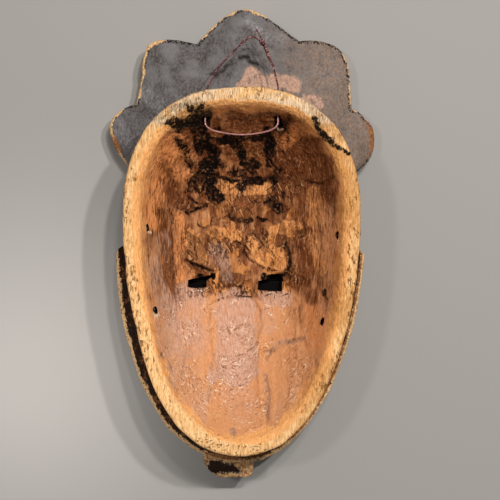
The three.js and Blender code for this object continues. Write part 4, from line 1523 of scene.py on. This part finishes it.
PAINTS = {
    "soot": Paint(routed(
        Stroke,
        ((-58, 94, -50, 95, -42, 97, -37, 100), 3.2), ((-30, 106, -31, 100, -33, 93), 4),
        ((-22, 84, -8, 88, 9, 86, 23, 88), 2.2), ((21, 90, 24, 82, 23, 76), 3.2, 2.6),
        ((-5, 81, -2, 75), 2.4), ((-29, 82, -24, 73, -30, 62, -25, 56), 4, 4),
        ((-20, 71, -18, 65), 1.4, 3, 0.9), ((-26, 56, -4, 53, 21, 52), 0.3, 2.2, 0.95),
        ((-43, 52, -33, 57, -25, 56), 0.8, 2.2), ((-30, 53, -26, 42, -18, 36), 1.8, 4.5, 0.92),
        ((-2, 48, 17, 51), 1, 1.8, 0.95), ((24, 33, 30, 29), 3, 4, 0.9),
        ((-47, 25, -35, 29, -23, 36), 0.3, 2.2, 0.85), ((-12, 22, -4, 19, 7, 18), 0.6, 3, 0.75),
        ((13, 20, 20, 18), 0.2, 3, 0.6), ((23, 71, 29, 64, 27, 46), 1.2, 5, 0.6),
        ((0, 68, 13, 65), 1, 4, 0.75), ((-38, 84, -36, 76), 1.6, 3.5, 0.85),
        ((-52, 84, -46, 70, -42, 60), 0.4, 5, 0.6), ((-45, 38, -37, 33), 0.6, 2, 0.85),
        ((-47, -15, -37, -20, -25, -24), 0.3, 1.6, 0.95),
        ((36, -2, 40, -10, 41, -18, 37, -25), 0.8, 2.4, 0.9), ((16, -31, 26, -28, 37, -28.5), 0.5, 1.6, 0.9),
        ((69, -41, 71, -48), 0.6, 2, 0.8),
    ), 121),
    "umber": Paint(routed(
        Stroke,
        ((-34, 88, 0, 82, 38, 84), 22, 14), ((-38, 52, 0, 52, 44, 50), 26, 16),
        ((-34, 18, 0, 18, 40, 16), 20, 12, 0.95), ((-32, -14, 0, -20, 38, -18), 20, 10, 0.9),
        ((70, 62, 73, 20, 66, -30), 6, 14, 0.2), ((-61, 50, -61, 8, -60, -46), 7, 10, 0.65),
        ((56, -46, 54, -62), 8, 16, 0.4),
    ), 143, 0.95, 0.3, 0.25, 1.3),
    "brown": Paint(routed(
        Stroke,
        ((54, 82, 64, 74), 4, 1.6, 0.8), ((40, 72, 47, 60), 5, 6, 0.75), ((-63, 62, -61, 43), 2.5, 4.5, 0.85),
        ((-58, 59, -55, 43, -48, 27), 0.8, 3, 0.75), ((-34, 72, -22, 56, -30, 40), 7, 8, 0.6),
        ((-18, 84, 4, 78, 26, 76), 5, 7, 0.6), ((28, 88, 34, 66, 32, 46), 4, 7, 0.7),
        ((46, 48, 48, 17), 3, 6, 0.55), ((69, 60, 74, 30, 76, 14), 2, 6, 0.38),
        ((-40, 30, -20, 26, 20, 22, 40, 24), 3, 6, 0.65), ((-26, -3, -16, -14, -11, -36), 5.5, 4, 0.85),
        ((-45, -19, -29, -24), 2.4, 1.6, 0.75), ((-44, -27, -28, -29), 2.6, 2, 0.6),
        ((32, 0, 39, -8, 41, -16, 39, -24), 1.6, 2.4, 0.9), ((2, -30, 18, -32), 4, 3, 0.7),
        ((42, 10, 52, -6, 58, -21), 4, 7, 0.6), ((43, -33, 52, -38, 58, -48), 4.5, 5, 0.75),
        ((48, -53, 51, -65), 1.6, 4, 0.6), ((66, -6, 64, -34, 60, -56), 1.5, 5, 0.3),
        ((-66, 24, -63, 0, -65, -20), 2.5, 4, 0.65), ((-74, 6, -76, -10), 1.4, 3, 0.65),
        ((-65, -89, -61, -99, -56, -109), 1.6, 3, 0.7), ((19, -102, 25, -92, 36, -85, 51, -81), 0.3, 3, 0.65),
        ((59, -94, 62, -101), 0.8, 2.6, 0.6),
    ), 111, 0.95, 0.45, 0.35, 1.4),
    "orange": Paint(routed(
        Stroke,
        ((-43.5, 9, -43, -1, -43, -13), 2.6, 1.2), ((-34, 3, -35, -6, -34, -19), 3.2, 1.4),
        ((-24, 9, -4, 4), 4, 3, 0.8), ((9, -3, 22, -9, 34, -14), 6, 2), ((14, -14, 32, -21), 4, 1.6),
        ((22, 12, 46, 12), 3.5, 3, 0.75), ((-22.5, -24, -22, -44), 1.8, 1),
        ((-14, -41, 5, -40), 1.6, 1.6, 0.9), ((-18, 46, 4, 43, 22, 46), 3.5, 4, 0.6),
        ((-4, 75, 16, 76), 2, 4, 0.45), ((60, 40, 60, 16), 4, 7, 0.5), ((58, 4, 66, -22), 3, 6, 0.5),
    ), 113),
    "grey": Paint(routed(
        Stroke,
        ((-24, -5, -17, -14, -13, -30), 4, 4, 0.85), ((20, -112, 22, -127, 20, -144), 0.6, 2.4, 0.8),
        ((22, -93, 30, -85.5, 43, -81.5, 51, -81), 0.8, 3.6, 0.65), ((-7, -154, -8, -161), 1.4, 2.2, 0.9),
        ((-26, -104, -28, -130), 0.6, 2.4, 0.65), ((-25, -56, -27, -76, -24, -98), 0.4, 2.6, 0.4),
        ((15, -58, 16.5, -71, 12, -86), 0.4, 2.4, 0.4), ((-8, -98, 2, -102, 10, -96), 2, 6, 0.4),
    ), 117),
    "dust": Paint(routed(
        Stroke,
        ((-74, -18, -67, -42, -60, -56), 4, 5, 0.9), ((-66, 4, -66, -12), 3, 6, 0.5),
        ((-64, -60, -60, -84, -50, -110), 6, 9, 0.75), ((-56, -118, -36, -142), 6, 10, 0.6),
        ((50, -110, 34, -140), 5, 12, 0.45), ((-40, -108, -34, -126), 6, 10, 0.5),
    ), 145, 1, 0, 0.6, 1.4),
    "chalk": Paint(routed(
        Stroke,
        ((-44, -48, -46, -64, -42, -84), 9, 10, 0.7), ((-6, -58, -5, -84, -4, -104), 15, 6, 0.95),
        ((20, -48, 36, -48), 3.5, 6, 0.75), ((20, -60, 22, -72), 4, 8, 0.5),
        ((-25, -112, -9, -108, 7, -104), 3, 4, 0.8), ((-6, -122, 0, -136), 8, 14, 0.4),
    ), 119, 1, 0.3, 0, 1.2),
    "honey": Paint(routed(
        Stroke,
        ((-56, 80, -68, 66, -74, 44, -76, 16), 6, 6, 0.95), ((-46, 72, -52, 56), 4, 7, 0.6),
        ((-54, 24, -52, 0, -52, -30), 2, 5, 0.6), ((37, 84, 45, 90, 56, 89), 4, 5, 0.7),
        ((-17, 108, 1, 109, 17, 108), 2, 4, 0.7), ((82, 40, 82, -10, 76, -60), 2.5, 5, 0.8),
        ((60, -62, 60, -80), 5, 9, 0.5),
    ), 115, 1, 0, 0.4, 1.3),
    "rim_soot": Paint(routed(
        Stroke,
        ((-62, 98, -48, 106, -38, 108, -30, 107), 3, 7, 0.45), ((-57, 95, -48, 96, -38, 99), 2.6, 3, 0.95),
        ((-40, 105, -33, 108), 1.6, 4, 0.9), ((59, 96, 63, 88), 1.4, 2), ((63, 88, 74, 77, 86, 69), 0.9, 1.8),
        ((62, 101, 70, 93, 78, 84), 2, 8, 0.34), ((28, 106, 1, 101, -17, 103), 0.2, 3, 0.45),
    ), 123),
    "lip": Paint(routed(
        Stroke,
        ((-45.5, -40.4, -31, -40.2), 0.1, 0.9, 0.7), ((14, -43.2, 33, -43.6), 0.1, 0.9, 0.6),
        ((-76.4, 6.8, -74.6, 8.4), 0.3, 0.9), ((-69.4, -60.2, -67.6, -58.6), 0.3, 0.9),
        ((79.4, 0.6, 77.4, 0.8), 0.3, 0.9), ((67, -70.4, 65, -69.6), 0.3, 0.9),
        ((27.8, 92.6, 30.6, 91.8, 33.4, 92.8), 0.3, 0.9),
    ), 147),
}


def brushed(x: Array, y: Array, strokes: Sequence[Stroke], seed: int) -> Array:
    """Lay strokes of a brush on the mask, with an unsteady hand.

    Args:
        x: Places across the mask in millimetres.
        y: Places along the mask in millimetres.
        strokes: The strokes; the strongest counts where they overlap.
        seed: Picks how the hand shakes.

    Returns:
        The paint's strength from 0 to 1.
    """
    place = np.stack([x, y], axis=-1)
    shaken_x = x + 1.8 * noise(place, 9, seed, 3)
    shaken_y = y + 2.4 * noise(place, 9, seed + 7, 3)
    total = np.zeros(x.shape)
    for stroke in strokes:
        distance = off_route(shaken_x, shaken_y, stroke.route)[0]
        total = np.maximum(total, stroke.strength * (1 - ease(0, stroke.fade, distance - stroke.reach)))
    return total


@dataclass(frozen=True)
class MaskPaint:
    """Where each colour lies on the mask, written to the mesh as attributes of its corners."""

    form: BowlForm
    crest: Crest
    frill: JawFrill
    bare: tuple[Stroke, ...] = routed(
        Stroke,
        ((0, 130, 8, 143, 14, 134, 26, 136, 44, 133), 4, 6), ((54, 122, 64, 117), 2.5, 5),
    )
    scuff: tuple[Stroke, ...] = routed(
        Stroke,
        ((4, 190, 12, 186, 16, 179), 2, 5, 0.8), ((-90, 128, -80, 124, -72, 118), 5, 9, 0.6),
        ((-106, 98, -98, 84), 4, 9, 0.5), ((60, 150, 76, 140), 4, 12, 0.45),
        ((20, 176, 34, 172), 2, 6, 0.6),
    )
    # Painted shadow that the wire casts on the crest, and a fainter band of painted shade near the bowl
    smudge: tuple[Stroke, ...] = routed(
        Stroke,
        ((-24, 140, -8, 152, 4, 157.5, 14, 151), 0.8, 3.4, 0.8), ((-2, 156, 5, 157.5, 10, 154), 1, 2),
        ((-40, 118, -10, 122, 14, 122), 2, 8, 0.35),
    )
    worn_at: tuple[float, ...] = (0, 0.28, 0.4, 0.7, 0.9, 1.1, 1.5, 1.62, 1.75, 2.1, 2.4, 2.6, 2.75,
                                  3.1, 3.35, 3.5, 3.62, 3.9, 4.2, 4.6, 5)
    worn_width: tuple[float, ...] = (4.6, 4.6, 4, 3.4, 1.4, 3.8, 4, 5.4, -0.6, 1.6, 2.6, 4, 0.4,
                                     -0.4, -0.8, 3.4, 2, 1.6, 0.6, 0.4, 0.8)

    def apply(self, piece: Piece) -> None:
        """Work out each attribute from the corners' places, and give every face its material."""
        mesh = piece.data
        place = read_places(mesh)
        inside = self.in_hollow(place)
        values = {**self.hollow_values(place), **self.outside_values(place)}
        for name, value in values.items():
            attribute = mesh.attributes.new(name, "FLOAT", "POINT")
            attribute.data.foreach_set("value", value.astype(np.float32))
        mesh.materials.clear()
        mesh.materials.append(HOLLOWED_WOOD.build())
        mesh.materials.append(BLACKENED_WOOD.build())
        starts = np.empty(len(mesh.polygons), dtype=np.int32)
        mesh.polygons.foreach_get("loop_start", starts)
        corners = np.empty(len(mesh.loops), dtype=np.int32)
        mesh.loops.foreach_get("vertex_index", corners)
        count = np.diff(np.append(starts, len(corners)))
        share = np.add.reduceat(inside[corners].astype(np.float64), starts) / count
        mesh.polygons.foreach_set("material_index", (share < 0.6).astype(np.int32))

    def in_hollow(self, place: Array) -> Array:
        """Tell the hollow and the rim from the outside, by depth inside the outline and height."""
        x, y, z = place.T
        depth = self.form.depth_inside(x, y)
        return ((z > 93) & (depth > -2)) | ((depth > 7.5) & (z > self.form.hollow_at(x, y) - 6))

    def hollow_values(self, place: Array) -> dict[str, Array]:
        """Work out the hollow's attributes from the strokes, the tool work and the rim's bands."""
        x, y, _ = place.T
        flat = np.stack([x, y], axis=-1)
        form = self.form
        carving = HollowCarving(form)
        depth = form.depth_inside(x, y)
        low_left = ease(10, -60, y) * ease(30, -20, x)
        low_right = ease(40, -10, y) * ease(20, 60, x)
        rim_end = 8 + 5 * ease(-20, -110, y) * ease(20, -30, x) + 2.5 * ease(70, 105, y)
        rim_edge = depth - rim_end + 1.5 * noise(flat, 8, 101, 4)
        inner = ease(0, 4, rim_edge)
        patchy = noise(flat, 15, 105, 4)
        streaky = noise(flat * np.array([1, 0.2]), 3.2, 109, 3)
        crevice = carving.crevice(x, y)
        # dark is painted shade along the cuts, pale is painted highlight above their ledges
        dark, pale = carving.cut_shade_and_highlight(x, y)
        upper, chop_zone, brow_zone = carving.zones(x, y)
        wall = ease(0.5, 0.78, form.share(x, y, form.mouth_inset)) * inner
        sides = np.maximum(ease(20, 75, x), 0.4 * ease(-40, -80, x))
        lower = ease(-44, -54, y)
        on_rim = 1 - ease(-1, 1, rim_edge)
        rows = np.exp(-(((depth - 3.4) / 1.7) ** 2)) + 0.8 * np.exp(-(((depth - 8.2) / 1.4) ** 2))
        bevel = 1 - ease(-3, 6, depth - 15 + 2.6 * noise(flat, 9, 103, 4))
        blots = np.clip(3.2 * (noise(flat * np.array([1, 0.6]), 7, 157, 4) - 0.42), 0, 1)
        blots = blots * ease(24, 40, y) * ease(54, 34, np.abs(x + 4)) * ease(112, 104, y)
        clusters = np.clip(0.65 + 0.8 * noise(flat * np.array([1, 0.5]), 8, 107, 3), 0, 1.3)
        at_chin = ease(-120, -150, y)
        pores = (0.6 + 0.6 * low_left + 0.7 * low_right) * clusters * np.clip(0.35 + rows, 0, 1)
        pores = np.maximum(pores, ease(1.4, 0.4, depth) * (0.4 + clusters)) * (1 - ease(3, 6, rim_edge))
        sooty = np.clip(1.1 + 0.8 * noise(flat, 6, 161, 4), 0.5, 1.3)

        def uneven(base: float, patches: float, streaks: float = 0, limit: float = 1) -> Array:
            """Give a strength that varies by patches and streaks, from 0 to its limit."""
            return np.clip(base + patches * patchy + streaks * streaky, 0, limit)

        values = {
            name: brushed(x, y, paint.strokes, paint.seed)
            * uneven(paint.base, paint.patchy, paint.streaky, paint.limit)
            for name, paint in PAINTS.items()}
        return values | {
            "fibres": wall * ease(-96, -40, y) * uneven(0.45, 0.4, 0.5),
            # The chopped zone carries the facets' painted light and shade as well as their relief
            "chopped": np.clip(chop_zone + 0.4 * brow_zone, 0, 1) * (1 - wall) * uneven(
                0.9, 0.5, limit=1.1),
            "cracks": inner * upper * (1 - 0.6 * wall) * uneven(0.7, 0.8, limit=1.1),
            # Scratch lines, their grooves and the pale painted highlights along them, in the lower hollow
            "scratches": lower * inner * uneven(0.7, 0.8),
            "fine": inner * (1 - 0.7 * lower) * np.clip(0.75 + 0.6 * patchy + 0.3 * wall, 0, 1.2),
            "soot": np.maximum(values["soot"] * sooty, 0.75 * blots),
            # Painted shade in grooves, below ledges and in hollows of the carving
            "crevice": np.clip(dark + 0.35 * crevice, 0, 1) * inner,
            # Painted highlight above ledges, less where the carving is sunk
            "ridge": np.clip(pale - 0.45 * crevice, 0, 1) * inner,
            # Pale specks and painted glints, most in the lower hollow
            "flecks": inner * np.clip(0.35 + 0.5 * lower + 0.6 * patchy, 0, 1.1),
            "bevel": bevel,
            "rim": on_rim,
            "rim_orange": np.maximum(on_rim, 0.9 * bevel) * sides * uneven(0.85, 0.6, limit=1.2),
            "rim_grey": ease(78, 108, y) * on_rim * uneven(0.8, 0.8, limit=1.2),
            "hatch": ease(60, 96, y) * (1 - ease(2, 8, rim_edge)),
            "pores": pores * (1 - at_chin),
            "pores_low": pores * at_chin,
            # Near-black painted shade in the slots and holes
            "inside_hole": self.in_holes(place),
            "coarse": np.where(depth > 0, 1 - 0.65 * lower * inner - 0.5 * on_rim, 1),
            "grained": np.ones(len(x)),
        }

    def in_holes(self, place: Array) -> Array:
        """Tell the walls of the slots and holes, below the surface that they are cut into, where near-black
        shade is painted.
        """
        x, y, z = place.T
        form, openings = self.form, Openings()
        sunk = form.hollow_at(x, y) - z
        total = np.zeros(len(x))
        for corners in openings.slots:
            low, high = np.min(corners, axis=0) - 0.8, np.max(corners, axis=0) + 0.8
            within = (x > low[0]) & (x < high[0]) & (y > low[1]) & (y < high[1])
            total = np.where(within, np.maximum(total, ease(1, 3, sunk)), total)
        for mouth_x, mouth_y, half_width, half_height in (*openings.top_mouths, *openings.side_mouths):
            oval = np.hypot((x - mouth_x) / (half_width + 0.6), (y - mouth_y) / (half_height + 0.6))
            total = np.where((oval < 1) & (sunk > 1.6) & (sunk < 9), 1, total)
        for bore, along, radius in openings.bores(form):
            axis = np.array(along) / np.linalg.norm(along)
            offset = place - np.array(bore)
            run = offset @ axis
            away = np.linalg.norm(offset - run[:, None] * axis, axis=1)
            total = np.where((away < radius + 0.45) & (np.abs(run) < 30), 1, total)
        return total

    def outside_values(self, place: Array) -> dict[str, Array]:
        """Work out the outside's attributes.

        The coat is worn where a place is near an upper or lower edge of the crest or the frill.
        """
        x, y, z = place.T
        flat = np.stack([x, y], axis=-1)
        crest, frill = self.crest, self.frill
        upper, lower = y > 50, y < 10
        wavering = y + 9 * noise(place, 18, 165, 3)
        above, below = ease(8, 46, wavering), ease(38, -2, wavering)
        outside = self.form.depth_inside(x, y) < -0.5
        from_outline, station = nearest_station(flat, crest.outline()[0])
        lobe = station / crest.stations_per_lobe
        width = np.interp(lobe, self.worn_at, self.worn_width) + 1.5 * noise(place, 5, 149, 3)
        lift = crest.top_lift * np.maximum(0, y - crest.side_y)
        from_edge = np.minimum(np.abs(z - crest.back_at_tip - lift), np.abs(z - lift))
        crest_edge = np.hypot(from_outline, 0.9 * from_edge)
        from_path, _ = nearest_station(flat, frill.path()[0])
        from_face = np.minimum(np.abs(z - frill.back_z), np.abs(z - frill.front_z - 2))
        frill_edge = np.hypot(from_path, from_face)
        frill_width = np.where(x < 0, 3.4, 3.2) + 0.9 * noise(place, 7, 151, 3)
        crest_worn = np.clip(0.5 + (0.75 * width - crest_edge) / 1.6, 0, 1) * (z < 30 + lift)
        frill_worn = np.clip(0.5 + (frill_width - frill_edge) / 1.4, 0, 1)
        worn = np.where(upper, crest_worn, np.where(lower, frill_worn, 0)) * outside
        tab = (y < -178) & (np.abs(x + 11.5) < 24) & (z < 39)
        wobble = 3 * noise(flat, 6, 163, 3)
        pale_tab = np.maximum(ease(-3, 1, x + wobble), ease(-194.5, -198, y + 0.5 * wobble))
        pale_tab = np.maximum(pale_tab, 0.8 * ease(-26, -30, x + wobble))
        pale_tab = np.maximum(pale_tab, ease(-186, -183, y + wobble)) * ease(24, 30, z)
        side_wall = upper * ease(2.5, 1, from_outline) * ease(20, 15, z - lift)
        corner = np.exp(-(((lobe - 0.3) / 0.16) ** 2)) + 0.8 * np.exp(-(((lobe - 4.5) / 0.35) ** 2))
        blotchy = np.clip(0.5 + 0.9 * noise(flat, 7, 153, 4), 0, 1)
        brown_side = 0.8 * ease(6, 3, from_path) * ease(1.2, 2.6, from_path)
        rubbed_frill = lower * ~tab * np.where(x > 0, brown_side, 0.5 * blotchy * ease(1.8, 3, from_path))
        rubbed_frill = np.maximum(
            rubbed_frill, 0.8 * ease(-172, -180, y) * ~tab * ease(1.2, 2.4, from_path))
        rubbed = corner * ease(8, 3, crest_edge) * upper + rubbed_frill + 0.5 * tab * pale_tab
        return {
            "tan": np.maximum(
                ease(-10, 90, x) * above * 0.95, below * (0.3 + 0.45 * ease(-25, 25, x))),
            "scuff": np.maximum(brushed(x, y, self.scuff, 131), 0.15 * above) * outside,
            "bare": brushed(x, y, self.bare, 133) * (z > 20) * outside,
            "black": np.where(tab, 1 - pale_tab, np.maximum(below * 0.9 * outside, side_wall)),
            # Painted shadow of the wire on the crest
            "smudge": brushed(x, y, self.smudge, 135) * upper,
            "dots": ease(3.5, 1, crest_edge) * upper * outside,
            "nicks": ease(4.5, 1.5, crest_edge) * upper * outside,
            "worn": np.clip(
                np.maximum(np.where(tab, pale_tab * 0.8, worn), self.face_wear(x, y, z)), 0, 1),
            "rubbed": np.clip(rubbed, 0, 1) * outside,
        }

    def face_wear(self, x: Array, y: Array, z: Array) -> Array:
        """Give the wear of the face's raised places: how far each stands above those round it."""
        proud = sunk_below(self.form.face_at, x, y, 3.5)
        return np.where(z < 45, np.clip(proud * 0.7, 0, 0.58), 0) * (self.form.depth_inside(x, y) > 6)


def nearest_station(flat: Array, stations: Array) -> tuple[Array, Array]:
    """Give each place's distance to the nearest of a line's stations, and that one's number."""
    distance = np.empty(len(flat))
    number = np.empty(len(flat))
    for part in np.array_split(np.arange(len(flat)), 24):
        squared = ((flat[part, None, :] - stations[None, :, :]) ** 2).sum(axis=-1)
        number[part] = squared.argmin(axis=1)
        distance[part] = np.sqrt(squared.min(axis=1))
    return distance, number


@dataclass(frozen=True)
class EnamelledWire:
    """Old enamelled copper wire: dull red-brown, with pinkish highlights painted on it in patches.

    It is painted paler in the hollow, above a given height.
    """

    dark: str = "#56282a"
    bright: str = "#cf9a93"
    pale_from: float = 72
    pale_at: float = 81
    roughness: float = 0.35
    metallic: float = 0.6

    def build(self) -> bpy.types.Material:
        """Build the material."""
        material, shader = new_material("enamelled_copper", Roughness=self.roughness, Metallic=self.metallic)
        tree = material.node_tree
        height = add_node(tree, "SeparateXYZ", {"Vector": add_node(tree, "TexCoord", {}, "Object")}, "Z")
        paler_above = add_node(tree, "MapRange", {
            "Value": height, "From Min": self.pale_from * MM, "From Max": self.pale_at * MM,
            "To Max": 0.6})
        # Painted highlights: pinkish patches by noise, and paler above a given height
        rubbed = add_node(tree, "Math", {
            0: Pattern(2.4, 1, 0.42, 0.85, 3, 41).build(tree), 1: paler_above},
            operation="ADD", use_clamp=True)
        colour = add_node(tree, "Mix", {
            0: rubbed, 6: linear(self.dark), 7: linear(self.bright)}, 2, data_type="RGBA")
        tree.links.new(colour, shader.inputs["Base Color"])
        return material


@dataclass(frozen=True)
class SoftLight:
    """A square studio light that points at a spot near the mask, with barn doors if it is narrow."""

    name: str
    place: tuple[float, float, float]
    size: float
    power: float
    target: tuple[float, float, float] = (0, 0, 0)
    spread: float = 180

    def build(self) -> None:
        """Build the light."""
        data = bpy.data.lights.new(self.name, "AREA")
        data.size = self.size
        data.energy = self.power
        data.spread = math.radians(self.spread)
        data.color = (1, 0.97, 0.93)
        light = bpy.data.objects.new(self.name, data)
        light.location = self.place
        x, y, z = (start - end for start, end in zip(self.place, self.target))
        light.rotation_euler = (math.atan2(math.hypot(x, y), z), 0, math.atan2(-y, -x) - math.pi / 2)
        bpy.context.scene.collection.objects.link(light)


@dataclass(frozen=True)
class MattBoard:
    """Painted board: an even, matt grey with no gloss."""

    colour: str = "#9b9895"
    roughness: float = 0.85

    def build(self) -> bpy.types.Material:
        """Build the material."""
        return new_material("matt_board", Base_Color=linear(self.colour), Roughness=self.roughness)[0]


@dataclass(frozen=True)
class Studio:
    """A pale floor, soft lights on both sides of the crest and a camera straight above the mask."""

    floor_half: float = 40000
    room_colour: str = "#efedea"
    room_strength: float = 0.22
    camera_height: float = 1100
    camera_foot: tuple[float, float] = (6.7, -7.1)
    frame_pixels: float = 500
    focal_pixels: float = 1254
    sensor: float = 36
    lights: tuple[SoftLight, ...] = (
        SoftLight("far_right_light", (0.62, 0.52, 1.6), 0.06, 13),
        SoftLight("near_right_light", (0.32, 0.52, 1.6), 0.06, 10.4),
        SoftLight("middle_light", (0.16, 0.5, 1.6), 0.06, 4.2),
        SoftLight("left_light", (-0.5, 0.2, 1.5), 0.1, 3.6),
        SoftLight("floor_light", (-0.25, -0.12, 0.5), 0.1, 0.11, (-0.19, -0.12, 0), 46),
    )

    def build(self) -> None:
        """Build the floor, the lights and the camera."""
        half = self.floor_half
        corners = np.array([[-half, -half, 0], [half, -half, 0], [half, half, 0], [-half, half, 0]])
        floor = Surface(corners, np.array([[0, 1, 2, 3]])).to_object("floor")
        floor.data.materials.append(MattBoard().build())
        for light in self.lights:
            light.build()
        world = bpy.data.worlds.new("soft_room")
        world.use_nodes = True
        room = world.node_tree.nodes["Background"].inputs
        room["Color"].default_value = linear(self.room_colour)
        room["Strength"].default_value = self.room_strength
        bpy.context.scene.world = world
        bpy.context.scene.view_settings.view_transform = "Standard"
        self.build_camera()

    def build_camera(self) -> None:
        """Build the camera: it looks straight down from above the picture's middle."""
        data = bpy.data.cameras.new("camera")
        data.sensor_width = self.sensor
        data.lens = self.focal_pixels / self.frame_pixels * self.sensor
        data.clip_end = 100
        camera = bpy.data.objects.new("camera", data)
        camera.location = tuple(value * MM for value in (*self.camera_foot, self.camera_height))
        bpy.context.scene.collection.objects.link(camera)
        bpy.context.scene.camera = camera


def main() -> None:
    """Build the studio, the wire and the mask."""
    logging.basicConfig(level=logging.INFO, format="%(message)s")
    Studio().build()
    HangingWire().build()
    mask = CarvedMask().build()
    LOG.info("%s: %d faces", mask.name, len(mask.data.polygons))


if __name__ == "__main__":
    main()
